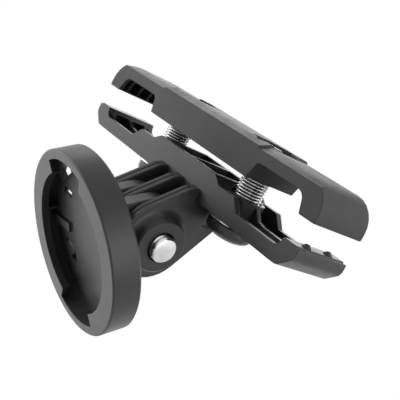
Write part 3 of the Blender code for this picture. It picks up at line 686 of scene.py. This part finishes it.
def skirt_profile(rise, radius, foot):
    """Raised ring round the pin hole: its face, a short wall and a concave foot on the ear."""
    lip = min(0.25 * MM, 0.3 * rise)
    wall = 0.6 * rise
    points = [(0.0, rise), (radius - lip, rise), (radius, rise - lip), (radius + 0.2 * MM, wall)]
    span = foot - radius - 0.2 * MM
    sunk = 0.04 * MM
    for k in range(1, 6):
        ang = 0.5 * math.pi * k / 5.0
        points.append((radius + 0.2 * MM + span * (1.0 - math.cos(ang)),
                       (wall + sunk) * (1.0 - math.sin(ang)) - sunk))
    points.append((foot, -0.9 * MM))
    points.append((0.0, -0.9 * MM))
    return points


def root_fillet(x, direction):
    """Concave band where an ear's side runs into the underside and the front of the jaw."""
    size = ROOT_SIZE
    bottom = UPPER_BASE_Z - BASE_DROP
    sunk = 0.8 * MM
    block_outline = rounded([
        (EAR_REAR_Y - 1.0 * MM, bottom + sunk, 0.0),
        (EAR_REAR_Y - 1.0 * MM, bottom - size, 0.0),
        (Y_FRONT - size, bottom - size, size),
        (Y_FRONT - size, bottom + 2.0 * MM, 0.0),
        (Y_FRONT + sunk, bottom + 2.0 * MM, 0.0),
        (Y_FRONT + sunk, bottom + sunk, 0.0),
    ], 6)
    block = prism("fillet_block", block_outline, -0.5 * MM, size, plane="YZ")
    route = [(size, Y_REAR + 3.0 * MM, bottom - size)]
    steps = 6
    for k in range(steps + 1):
        ang = math.radians(270.0 - 90.0 * k / steps)
        route.append((size, Y_FRONT + size * math.cos(ang), bottom + size * math.sin(ang)))
    route.append((size, Y_FRONT - size, bottom + 6.0 * MM))
    cut(block, round_cutter("fillet_tube", route, 1.04 * size, 6))
    limit = prism("fillet_limit", ear_outline(), -1.0 * MM, 2.0 * size, plane="YZ", cutter=True)
    boolean(block, limit, "INTERSECT")
    block = bake(block)
    block.data.transform(Matrix.Diagonal((direction * ROOT_STRETCH, 1.0, 1.0, 1.0)))
    block.data.transform(Matrix.Translation((x, 0.0, 0.0)))
    if direction < 0.0:
        block.data.flip_normals()
    return block


def build_lower():
    """Lower jaw: hollows, fins, ears, boss and the holes through them."""
    body = prism("lower_jaw_moulding", lower_outline(), Y_FRONT, Y_REAR, bevel=EDGE)
    base = UPPER_BASE_Z
    bottom = base - BASE_DROP
    half = SCREW_X - SCREW_BOSS_R - 0.95 * MM
    for low, high in ((-half, -0.5 * RIB), (0.5 * RIB, half)):
        box = cuboid("middle_hollow", (low, Y_FRONT + WALL, bottom + SHELL_FLOOR),
                     (high, Y_REAR - WALL, base))
        cut(body, box)
    for side in (-1.0, 1.0):
        cut(body, rail_hollow(side))
        for pocket in tip_pockets(side):
            cut(body, pocket)
        x = side * SCREW_X
        hole = rod("screw_hole", SCREW_HOLE_R, bottom - 2.0 * CUT_MARGIN, base, upright(x),
                   HOLE_SIDES)
        cut(body, hole)
        seat = rod("spring_seat", SPRING_POCKET_R, base - SEAT_DROP - SPRING_POCKET_DEEP, base,
                   upright(x), HOLE_SIDES)
        cut(body, seat)
    body = bake(body)

    # Two low fins on the +X jaw tip
    lip = base - LIP_DROP
    fin_end = JAW_HALF - LIP_STEP_WIDTH - 0.1 * MM
    outline = rounded([
        (LIP_IN + 0.6 * MM, lip - FIN_SUNK, 0.0),
        (LIP_IN + 1.9 * MM, lip + FIN_RISE, 0.3 * MM),
        (JAW_HALF - 1.7 * MM, lip + FIN_RISE, 0.5 * MM),
        (fin_end, lip, 0.0),
        (fin_end, lip - FIN_SUNK, 0.0),
    ], 3)
    for y in (-FIN_Y, FIN_Y):
        fin = prism("fin", outline, y - 0.5 * FIN_WIDTH, y + 0.5 * FIN_WIDTH)
        join(body, fin)

    # Ears, the boss on the +X ear, a low ring on the -X ear, and a fillet at both outer roots
    places = ear_places()
    for low, high in places:
        plate = prism("ear", ear_outline(), low, high, plane="YZ", bevel=EDGE)
        cut(plate, ear_groove(0.5 * (low + high)))
        join(body, bake(plate))
    join(body, root_fillet(places[2][1], 1.0))
    join(body, root_fillet(places[0][0], -1.0))
    pin = Vector((0.0, PIN.y, PIN.z))
    right = places[2][1]
    left = places[0][0]
    foot = EAR_R - EDGE - 0.2 * MM
    ring = turned("ring", skirt_profile(BOSS_RISE, BOSS_R, foot),
                  along_x(pin + Vector((right, 0.0, 0.0))), RING_SIDES)
    join(body, ring)
    back = turned("back_ring", skirt_profile(BACK_BOSS_RISE, BOSS_R + 0.3 * MM, foot),
                  along_x(pin + Vector((left, 0.0, 0.0))) @ Matrix.Rotation(math.pi, 4, "X"),
                  BORE_SIDES)
    join(body, back)
    body = bake(body)
    for side in (-1.0, 1.0):
        face = rod("spot_face", WASHER_R + GAP, bottom - 4.0 * CUT_MARGIN, bottom + SPOT_FACE,
                   upright(side * SCREW_X), RING_SIDES)
        cut(body, face)
    bore = rod("bolt_bore", BOLT_HOLE_R, left - 5.0 * CUT_MARGIN, right + 5.0 * CUT_MARGIN,
               along_x(pin), BORE_SIDES)
    cut(body, bore)
    inner = places[2][0]
    socket = rod("insert_socket", INSERT_R + GAP, inner - 2.0 * CUT_MARGIN,
                 inner + INSERT_LENGTH + 2.0 * GAP, along_x(pin), BORE_SIDES)
    cut(body, socket)
    return finish(bake(body))


# ---------------- cup
def cup_matrix():
    """Local Z runs from the cup's mouth back to the hinge; local X is world X."""
    back = Vector((0.0, math.cos(CUP_TILT), math.sin(CUP_TILT)))
    up = Vector((0.0, -math.sin(CUP_TILT), math.cos(CUP_TILT)))
    mouth = PIN - CUP_REACH * back - CUP_OFFSET * up
    right = Vector((1.0, 0.0, 0.0))
    basis = Matrix((right, up, back)).transposed().to_4x4()
    return Matrix.Translation(mouth) @ basis


def sector(inner, outer, start, end, steps):
    """Ring sector outline in the cup's own plane."""
    points = []
    for k in range(steps + 1):
        ang = start + (end - start) * k / steps
        points.append((outer * math.cos(ang), outer * math.sin(ang)))
    for k in range(steps + 1):
        ang = end + (start - end) * k / steps
        points.append((inner * math.cos(ang), inner * math.sin(ang)))
    return points


def flat(name, outline, low, high, cutter=True):
    """Outline in the cup's plane, extruded along the cup's axis."""
    obj = prism(name, outline, low, high, plane="XY", cutter=cutter)
    obj.data.transform(cup_matrix())
    obj.data.flip_normals()
    obj.data.update()
    return obj


def box_outline(left, right, low, high):
    """Rectangle outline from its sides."""
    return [(left, low), (right, low), (right, high), (left, high)]


def finger_outline():
    """Side view of a finger in the cup's frame: (distance along the axis, height)."""
    points = []
    steps = 14
    for k in range(steps + 1):
        ang = math.radians(90.0 - 180.0 * k / steps)
        points.append((CUP_REACH + EAR_R * math.cos(ang), CUP_OFFSET + EAR_R * math.sin(ang)))
    points.append((CUP_DEPTH - 0.9 * MM, CUP_OFFSET - EAR_R))
    points.append((CUP_DEPTH - 0.9 * MM, CUP_OFFSET + EAR_R))
    return points


def build_cup():
    """Cup with its notches, slots, tongue, turn stops and two fingers."""
    place = cup_matrix()
    inside = CUP_DEPTH - CUP_FLOOR
    profile = [
        (0.0, CUP_DEPTH),
        (CUP_R - 0.35 * MM, CUP_DEPTH),
        (CUP_R, CUP_DEPTH - 0.35 * MM),
        (CUP_R, 0.25 * MM),
        (CUP_R - 0.25 * MM, 0.0),
        (MOUTH_R, 0.0),
        (MOUTH_R, LEDGE_THICK),
        (LUG_R, LEDGE_THICK + 0.25 * MM),
        (LUG_R, inside),
        (0.0, inside),
    ]
    body = turned("cup_moulding", profile, place, CUP_SIDES)

    # Mouth notches that let the light's lugs in
    for turn in (0.0, math.pi):
        start = LUG_CENTRE - LUG_HALF + turn
        end = LUG_CENTRE + LUG_HALF + turn
        notch = flat("lug_notch", sector(MOUTH_R - 2.0 * MM, LUG_R, start, end, 10), -2.0 * MM,
                     LEDGE_THICK + 1.0 * MM)
        cut(body, notch)

    # Two small pits in the mouth's rim
    for height in PIT_HEIGHTS:
        pit = rod("rim_pit", PIT_R, -CUT_MARGIN, PIT_DEEP,
                  place @ Matrix.Translation((MOUTH_R + PIT_INSET, height, 0.0)), PIT_SIDES)
        cut(body, pit)

    # Moulding slots in the floor under the ledge
    before_floor, past_back = inside - CUT_MARGIN, CUP_DEPTH + 2.0 * CUT_MARGIN
    inner = LUG_R - CORE_INSET - CORE_SLOT
    for start, end, inset in CORE_SLOTS:
        ring = sector(inner, LUG_R - inset, math.radians(start), math.radians(end), 6)
        slot = flat("core_slot", ring, before_floor, past_back)
        cut(body, slot)

    # Sprung tongue: a slot at each side, thinned from behind, and a window below it
    far = TONGUE_ROOT_X - TONGUE_LENGTH
    for side in (-1.0, 1.0):
        ends = sorted((side * TONGUE_HALF, side * (TONGUE_HALF + TONGUE_SLOT)))
        slot = flat("tongue_slot", box_outline(far, TONGUE_ROOT_X, ends[0], ends[1]),
                    before_floor, past_back)
        cut(body, slot)
        ends = sorted((side * (TONGUE_HALF - TONGUE_THINNED), side * (TONGUE_HALF + TONGUE_SLOT)))
        thinned = box_outline(far - TONGUE_PAST_TIP, TONGUE_ROOT_X, ends[0], ends[1])
        relief = flat("tongue_relief", thinned, inside + TONGUE_LEAF, past_back)
        cut(body, relief)
    low = -TONGUE_HALF - WINDOW_DROP
    outline = [(TONGUE_ROOT_X + a, low + b) for a, b in WINDOW_CORNERS]
    window = flat("tongue_window", outline, before_floor, past_back)
    cut(body, window)
    body = bake(body)

    # Raised detent on the tongue and the turn stops behind the ledge
    tip = -LUG_R + DETENT_TIP_INSET
    root = TONGUE_ROOT_X - DETENT_ROOT_INSET
    outline = [(tip, DETENT_TIP[0]), (root, DETENT_ROOT[0]),
               (root, DETENT_ROOT[1]), (tip, DETENT_TIP[1])]
    detent = flat("detent", outline, inside - DETENT_RISE, inside + 0.5 * MM, False)
    join(body, detent)
    for turn in (0.0, math.pi):
        start = STOP_ANGLE + turn
        stop = flat("turn_stop", sector(LUG_R - STOP_REACH, LUG_R + 0.6 * MM, start,
                                        start + STOP_WIDTH, 2), LEDGE_THICK - 0.4 * MM,
                    inside + 0.4 * MM, False)
        join(body, stop)

    # Fingers between the ears
    places = ear_places()
    for k in (0, 1):
        middle = 0.5 * (places[k][1] + places[k + 1][0])
        finger = prism("finger", finger_outline(), middle - 0.5 * FINGER_THICK,
                       middle + 0.5 * FINGER_THICK, plane="YZ", bevel=0.25 * MM)
        # The prism lies in (Y, Z) as (axis, height); turn it onto the cup's axis
        swap = Matrix(((1.0, 0.0, 0.0, 0.0), (0.0, 0.0, 1.0, 0.0), (0.0, 1.0, 0.0, 0.0),
                       (0.0, 0.0, 0.0, 1.0)))
        finger.data.transform(place @ Matrix.Translation((-PIN.x, 0.0, 0.0)) @ swap)
        finger.data.update()
        join(body, finger)
    body = bake(body)
    bore = rod("finger_bore", BOLT_HOLE_R, places[0][0] - CUT_MARGIN, places[2][1] + CUT_MARGIN,
               along_x((0.0, PIN.y, PIN.z)), BORE_SIDES)
    cut(body, bore)
    return finish(bake(body))


def corners(obj):
    """The lowest and highest corner of a box, as plain lists."""
    lo, hi = obj
    return [[float(v) for v in lo], [float(v) for v in hi]]


# ---------------- node helpers
class Nodes:
    """A material's node tree with short ways to add and join nodes."""

    def __init__(self, name):
        self.material = bpy.data.materials.new(name)
        self.material.use_nodes = True
        self.tree = self.material.node_tree
        self.shader = self.tree.nodes["Principled BSDF"]
        self.output = self.tree.nodes["Material Output"]
        self.place = self.add("ShaderNodeTexCoord").outputs["Object"]

    def add(self, kind, **settings):
        """New node with some of its settings."""
        node = self.tree.nodes.new(kind)
        for key, value in settings.items():
            setattr(node, key, value)
        return node

    def put(self, value, socket):
        """Join a socket to a socket, or set its value."""
        if isinstance(value, bpy.types.NodeSocket):
            self.tree.links.new(value, socket)
        else:
            socket.default_value = value

    def noise(self, scale, detail=3.0, roughness=0.55, place=None):
        """Cloudy pattern from 0 to 1."""
        node = self.add("ShaderNodeTexNoise")
        self.put(place or self.place, node.inputs["Vector"])
        node.inputs["Scale"].default_value = scale
        node.inputs["Detail"].default_value = detail
        node.inputs["Roughness"].default_value = roughness
        return node.outputs["Fac"]

    def cells(self, scale):
        """Cell pattern: the distance from the nearest point."""
        node = self.add("ShaderNodeTexVoronoi", feature="F1")
        self.put(self.place, node.inputs["Vector"])
        node.inputs["Scale"].default_value = scale
        return node.outputs["Distance"]

    def stretched(self, size):
        """The object's coordinates, scaled along each axis."""
        node = self.add("ShaderNodeMapping")
        self.put(self.place, node.inputs["Vector"])
        node.inputs["Scale"].default_value = size
        return node.outputs["Vector"]

    def remap(self, value, low, high, to_low=0.0, to_high=1.0):
        """Carry one range over to another."""
        node = self.add("ShaderNodeMapRange", clamp=True)
        self.put(value, node.inputs["Value"])
        for key, number in (("From Min", low), ("From Max", high),
                            ("To Min", to_low), ("To Max", to_high)):
            node.inputs[key].default_value = number
        return node.outputs["Result"]

    def mix(self, factor, first, second):
        """Mix two colours."""
        node = self.add("ShaderNodeMix", data_type="RGBA")
        self.put(factor, node.inputs["Factor"])
        self.put(first, node.inputs["A"])
        self.put(second, node.inputs["B"])
        return node.outputs["Result"]

    def math(self, operation, first, second):
        """Sum, product or the like of two values."""
        node = self.add("ShaderNodeMath", operation=operation)
        self.put(first, node.inputs[0])
        self.put(second, node.inputs[1])
        return node.outputs[0]

    def clouded(self, cloud, dark, light):
        """Colour that drifts between two tones."""
        return self.mix(self.remap(cloud, 0.3, 0.7), dark, light)

    def bump(self, height, distance, strength, normal=None):
        """Fine relief on top of a normal."""
        node = self.add("ShaderNodeBump")
        node.inputs["Strength"].default_value = strength
        node.inputs["Distance"].default_value = distance
        self.put(height, node.inputs["Height"])
        if normal is not None:
            self.put(normal, node.inputs["Normal"])
        return node.outputs["Normal"]

    def rounded_edges(self, radius):
        """Normal that rounds edges off."""
        node = self.add("ShaderNodeBevel", samples=6)
        node.inputs["Radius"].default_value = radius
        return node.outputs["Normal"]


def grey(level, warmth=0.0):
    """Grey, a little warm or cool."""
    return (level * (1 + warmth), level, level * (1 - warmth), 1.0)


def moulded_plastic(name, rough):
    """Dark nylon from a mould with a fine spark-eroded texture."""
    n = Nodes(name)
    s = n.shader
    grain = n.noise(5200.0, 2.0, 0.6)
    cloud = n.noise(160.0, 4.0, 0.6)
    base = n.clouded(cloud, grey(PLASTIC_LEVEL * 0.86, -0.012), grey(PLASTIC_LEVEL * 1.12, -0.02))
    speck = n.remap(grain, 0.42, 0.62, 0.0, 0.22)
    n.put(n.mix(speck, base, grey(PLASTIC_LEVEL * 1.7, -0.01)), s.inputs["Base Color"])
    n.put(n.remap(cloud, 0.3, 0.7, rough - 0.05, rough + 0.06), s.inputs["Roughness"])
    s.inputs["Specular IOR Level"].default_value = PLASTIC_GLOSS
    height = n.math("ADD", n.math("MULTIPLY", grain, 0.7), n.math("MULTIPLY", n.cells(3600.0), 0.5))
    rounded = n.rounded_edges(PLASTIC_EDGE)
    n.put(n.bump(height, PLASTIC_BUMP, 0.5, rounded), s.inputs["Normal"])
    return n.material


def steel(name, level, rough, turned_axis=2):
    """Plated steel with fine turning marks round one axis."""
    n = Nodes(name)
    s = n.shader
    size = [260.0, 260.0, 260.0]
    size[turned_axis] = 9000.0
    marks = n.noise(1.0, 3.0, 0.6, place=n.stretched(size))
    cloud = n.noise(500.0, 3.0, 0.5)
    n.put(n.clouded(cloud, grey(level * 0.88), grey(level * 1.06, 0.004)), s.inputs["Base Color"])
    s.inputs["Metallic"].default_value = 1.0
    n.put(n.remap(marks, 0.3, 0.7, rough - 0.06, rough + 0.08), s.inputs["Roughness"])
    n.put(n.bump(marks, METAL_BUMP, 0.35, n.rounded_edges(METAL_EDGE)), s.inputs["Normal"])
    return n.material


def black_oxide(name):
    """Blackened screw steel with a faint oily shine."""
    n = Nodes(name)
    s = n.shader
    cloud = n.noise(700.0, 4.0, 0.6)
    n.put(n.clouded(cloud, grey(0.028), grey(0.055, 0.02)), s.inputs["Base Color"])
    s.inputs["Metallic"].default_value = 0.55
    n.put(n.remap(cloud, 0.3, 0.7, 0.26, 0.42), s.inputs["Roughness"])
    n.put(n.bump(n.noise(4200.0), METAL_BUMP, 0.3, n.rounded_edges(METAL_EDGE)),
          s.inputs["Normal"])
    return n.material


def brass(name):
    """Turned brass."""
    n = Nodes(name)
    s = n.shader
    cloud = n.noise(600.0, 3.0, 0.5)
    n.put(n.clouded(cloud, (0.55, 0.38, 0.15, 1.0), (0.68, 0.50, 0.24, 1.0)),
          s.inputs["Base Color"])
    s.inputs["Metallic"].default_value = 1.0
    n.put(n.remap(cloud, 0.3, 0.7, 0.24, 0.36), s.inputs["Roughness"])
    n.put(n.bump(n.noise(3000.0), METAL_BUMP, 0.3), s.inputs["Normal"])
    return n.material


def dress(obj, material):
    """Give an object its one material."""
    obj.data.materials.clear()
    obj.data.materials.append(material)


# ---------------- light, floor, camera
def backdrop_strength(tree):
    """1 for the camera and for what gloss and glass show, 0 for the rays that light things."""
    rays = tree.nodes.new("ShaderNodeLightPath")
    seen = rays.outputs["Is Camera Ray"]
    for ray in ("Is Glossy Ray", "Is Transmission Ray"):
        both = tree.nodes.new("ShaderNodeMath")
        both.operation = "MAXIMUM"
        tree.links.new(seen, both.inputs[0])
        tree.links.new(rays.outputs[ray], both.inputs[1])
        seen = both.outputs[0]
    return seen


def in_scene(name, data):
    """New object straight in the scene."""
    obj = bpy.data.objects.new(name, data)
    bpy.context.scene.collection.objects.link(obj)
    return obj


def make_floor():
    """Pale floor that the camera and gloss see as part of the white backdrop."""
    mesh = bpy.data.meshes.new("floor")
    h, z = FLOOR_HALF, FLOOR_Z
    mesh.from_pydata([(-h, -h, z), (h, -h, z), (h, h, z), (-h, h, z)], [], [(0, 1, 2, 3)])
    floor = in_scene("floor", mesh)
    n = Nodes("floor_white")
    n.shader.inputs["Base Color"].default_value = FLOOR_COLOR
    n.shader.inputs["Roughness"].default_value = FLOOR_ROUGH
    glow = n.add("ShaderNodeEmission")
    glow.inputs["Color"].default_value = WHITE
    pick = n.add("ShaderNodeMixShader")
    n.tree.links.new(backdrop_strength(n.tree), pick.inputs[0])
    n.tree.links.new(n.shader.outputs[0], pick.inputs[1])
    n.tree.links.new(glow.outputs[0], pick.inputs[2])
    n.tree.links.new(pick.outputs[0], n.output.inputs["Surface"])
    dress(floor, n.material)


def make_world():
    """Dim studio round the object, white where the camera sees it."""
    world = bpy.data.worlds.new("studio")
    bpy.context.scene.world = world
    world.use_nodes = True
    tree = world.node_tree
    fill = tree.nodes["Background"]
    fill.inputs["Color"].default_value = WHITE
    level = tree.nodes.new("ShaderNodeMath")
    level.operation = "MAXIMUM"
    level.inputs[1].default_value = WORLD_FILL
    tree.links.new(backdrop_strength(tree), level.inputs[0])
    tree.links.new(level.outputs[0], fill.inputs["Strength"])


def soft_lamp(azimuth, elevation, radiance):
    """Round soft box that shines on the object from a direction, at a set brightness."""
    a, e = math.radians(azimuth), math.radians(elevation)
    out = Vector((math.cos(e) * math.cos(a), math.cos(e) * math.sin(a), math.sin(e)))
    radius = LAMP_AWAY * math.tan(math.radians(LAMP_HALF_ANGLE))
    data = bpy.data.lights.new("soft_box", "AREA")
    data.shape = "DISK"
    data.size = 2.0 * radius
    data.energy = radiance * (math.pi * radius) ** 2
    lamp = in_scene("soft_box", data)
    lamp.location = Vector(LAMP_AIM) + LAMP_AWAY * out
    lamp.rotation_euler = (-out).to_track_quat("-Z", "Y").to_euler()
    lamp.visible_camera = False


def make_camera():
    """The photograph's fitted camera."""
    data = bpy.data.cameras.new("camera")
    data.sensor_fit = "HORIZONTAL"
    data.sensor_width = SENSOR_MM
    data.lens = FOCAL_PIXELS * SENSOR_MM / PICTURE_PIXELS
    data.clip_start, data.clip_end = NEAR_CLIP, FAR_CLIP
    camera = in_scene("camera", data)
    right, down, forward = Vector(PICTURE_RIGHT), Vector(PICTURE_DOWN), Vector(PICTURE_FORWARD)
    matrix = Matrix((right, -down, -forward)).transposed().to_4x4()
    matrix.translation = Vector(CAMERA_AT) * MM
    camera.matrix_world = matrix
    bpy.context.scene.camera = camera


# ---------------- springs and bolt
def tube_along(name, route, radius):
    """Round wire along a smooth route, closed at both ends."""
    bm = bmesh.new()
    rings = []
    for k, point in enumerate(route):
        ahead = (route[min(k + 1, len(route) - 1)] - route[max(k - 1, 0)]).normalized()
        side = ahead.cross(Vector((0.0, 0.0, 1.0))).normalized()
        lift = side.cross(ahead)
        ring = []
        for m in range(WIRE_SIDES):
            ang = 2.0 * math.pi * m / WIRE_SIDES
            out = math.cos(ang) * side + math.sin(ang) * lift
            ring.append(bm.verts.new(point + radius * out))
        rings.append(ring)
    for low, high in zip(rings, rings[1:]):
        for m in range(WIRE_SIDES):
            n = (m + 1) % WIRE_SIDES
            bm.faces.new((low[m], low[n], high[n], high[m]))
    bm.faces.new(rings[0])
    bm.faces.new(rings[-1])
    bmesh.ops.recalc_face_normals(bm, faces=bm.faces)
    return solid(name, bm)


def build_spring(name, x):
    """Compression spring with a closed turn at each end."""
    low = UPPER_BASE_Z - SEAT_DROP - SPRING_POCKET_DEEP + GAP + SPRING_WIRE_R
    high = UPPER_BASE_Z + SPRING_POCKET_DEEP - GAP - SPRING_WIRE_R
    closed = 1.9 * SPRING_WIRE_R
    open_turns = (high - low - 2.0 * closed) / SPRING_PITCH
    turns = open_turns + 2.0
    count = int(SPRING_STEPS * turns)
    route = []
    for k in range(count + 1):
        turn = turns * k / count
        if turn < 1.0:
            z = closed * turn
        elif turn < 1.0 + open_turns:
            z = closed + SPRING_PITCH * (turn - 1.0)
        else:
            z = high - low - closed * (turns - turn)
        ang = 2.0 * math.pi * turn
        route.append(Vector((x + SPRING_R * math.cos(ang), SPRING_R * math.sin(ang), low + z)))
    spring = finish(tube_along(name, route, SPRING_WIRE_R), 60.0)
    return spring, low - SPRING_WIRE_R, high + SPRING_WIRE_R


def build_nut(name, node, x):
    """Thin hexagonal nut on the floor of its pocket, with its top well below the plateau."""
    low = min((node.matrix_world @ Vector(corner)).z for corner in node.bound_box)
    high = UPPER_BASE_Z + UPPER_HEIGHT + PLATEAU_RISE - NUT_SUNK
    nut = rod(name, 0.5 * NUT_FLATS / HEX_RATIO, low, high, upright(x), 6, cutter=False)
    bore = rod("nut_bore", SCREW_HOLE_R, low - CUT_MARGIN, high + CUT_MARGIN, upright(x),
               BORE_SIDES)
    cut(nut, bore)
    return finish(bake(nut), 25.0)


def build_bolt(name):
    """Hinge bolt with a button head at -X and a threaded, chamfered end at +X."""
    left = ear_places()[0][0] - BACK_BOSS_RISE - GAP
    tip = ear_places()[2][1] + BOSS_RISE + BOLT_TIP_OUT
    head_end = left - BOLT_HEAD_HEIGHT
    thread_from = tip - THREAD_LENGTH
    socket_floor = head_end + BOLT_SOCKET_DEEP
    # Rows of (x, radius, kind) from the socket's floor to the tip; 1 is threaded, 6 hexagonal
    rows = [(socket_floor, 0.0, 0), (socket_floor, BOLT_SOCKET_R, 6),
            (head_end, BOLT_SOCKET_R, 6), (head_end, 0.45 * BOLT_HEAD_R, 0)]
    for k in range(BOLT_DOME_STEPS - 1, 0, -1):
        ang = 0.5 * math.pi * k / BOLT_DOME_STEPS
        rows.append((left - BOLT_HEAD_HEIGHT * math.sin(ang),
                     BOLT_HEAD_R * math.cos(ang) ** 0.6, 0))
    rows += [(left - 0.12 * MM, BOLT_HEAD_R, 0), (left, BOLT_HEAD_R - 0.12 * MM, 0),
             (left, BOLT_R, 0), (thread_from, BOLT_R, 0)]
    thread_run = tip - BOLT_CHAMFER - thread_from
    steps = int(round(thread_run / (THREAD_PITCH / THREAD_STEPS)))
    for k in range(1, steps + 1):
        rows.append((thread_from + thread_run * k / steps, BOLT_R, 1))
    rows += [(tip - 0.05 * MM, BOLT_R - 0.3 * MM, 0), (tip, BOLT_R - 0.42 * MM, 0), (tip, 0.0, 0)]
    count = BOLT_SIDES
    bm = bmesh.new()
    rings = []
    for x, radius, kind in rows:
        if radius == 0.0:
            rings.append([bm.verts.new((x, PIN.y, PIN.z))])
            continue
        ring = []
        for m in range(count):
            ang = 2.0 * math.pi * m / count
            r = radius
            if kind == 6:
                within = (ang % (math.pi / 3.0)) - math.pi / 6.0
                r = radius * HEX_RATIO / math.cos(within)
            elif kind == 1:
                phase = (x / THREAD_PITCH - m / count) % 1.0
                fade = min(1.0, (x - thread_from) / THREAD_PITCH, (tip - x) / (0.6 * MM))
                r = radius - THREAD_DEPTH * fade * abs(2.0 * phase - 1.0)
            ring.append(bm.verts.new((x, PIN.y + r * math.cos(ang), PIN.z + r * math.sin(ang))))
        rings.append(ring)
    for a, b in zip(rings, rings[1:]):
        for m in range(count):
            n = (m + 1) % count
            if len(a) == 1:
                bm.faces.new((a[0], b[m], b[n]))
            elif len(b) == 1:
                bm.faces.new((a[m], b[0], a[n]))
            else:
                bm.faces.new((a[m], b[m], b[n], a[n]))
    bmesh.ops.recalc_face_normals(bm, faces=bm.faces)
    return finish(solid(name, bm), 40.0)


# ---------------- the scene
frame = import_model()
nodes = frame["nodes"]
make_camera()
SHAPES = bpy.data.collections.new("shapes")
CUTTERS = bpy.data.collections.new("cutters")
for group in (SHAPES, CUTTERS):
    bpy.context.scene.collection.children.link(group)

bright = steel("bright_steel_look", 0.62, 0.24)
wire = steel("spring_steel_look", 0.66, 0.22)
dark = black_oxide("black_screw_look")
LOOKS = {
    "clamp_screw_left": dark, "clamp_screw_right": dark,
    "clamp_washer_left": bright, "clamp_washer_right": bright,
    "hinge_insert": brass("brass_look"),
}
for name, material in LOOKS.items():
    dress(nodes[name], material)


def stand_for(piece, node, body, material):
    """A piece made here stands for the node of the same part and moves with its body."""
    dress(piece, material)
    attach(piece, body)
    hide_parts(node)


stand_for(build_upper(), "upper_clamp", "upper_jaw",
          moulded_plastic("upper_plastic_look", 0.56))
stand_for(build_lower(), "lower_clamp", "lower_jaw",
          moulded_plastic("lower_plastic_look", 0.36))
stand_for(build_cup(), "light_cup", "cup",
          moulded_plastic("cup_plastic_look", 0.36))
stand_for(build_bolt("hinge_bolt_threaded"), "hinge_bolt", "lower_jaw",
          steel("bolt_steel_look", 0.62, 0.24, turned_axis=0))
for side, label in ((-1.0, "left"), (1.0, "right")):
    spring, low, high = build_spring("spring_coil_" + label, side * SCREW_X)
    stand_for(spring, "spring_" + label, "lower_jaw", wire)
    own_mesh(spring)
    nut = "clamp_nut_" + label
    stand_for(build_nut("thin_nut_" + label, nodes[nut], side * SCREW_X), nut, "upper_jaw",
              bright)
for obj in list(CUTTERS.objects):
    bpy.data.objects.remove(obj, do_unlink=True)

make_floor()
make_world()
for azimuth, elevation, radiance in SOFT_BOXES:
    soft_lamp(azimuth, elevation, radiance)

bpy.context.scene.view_settings.view_transform = "Standard"
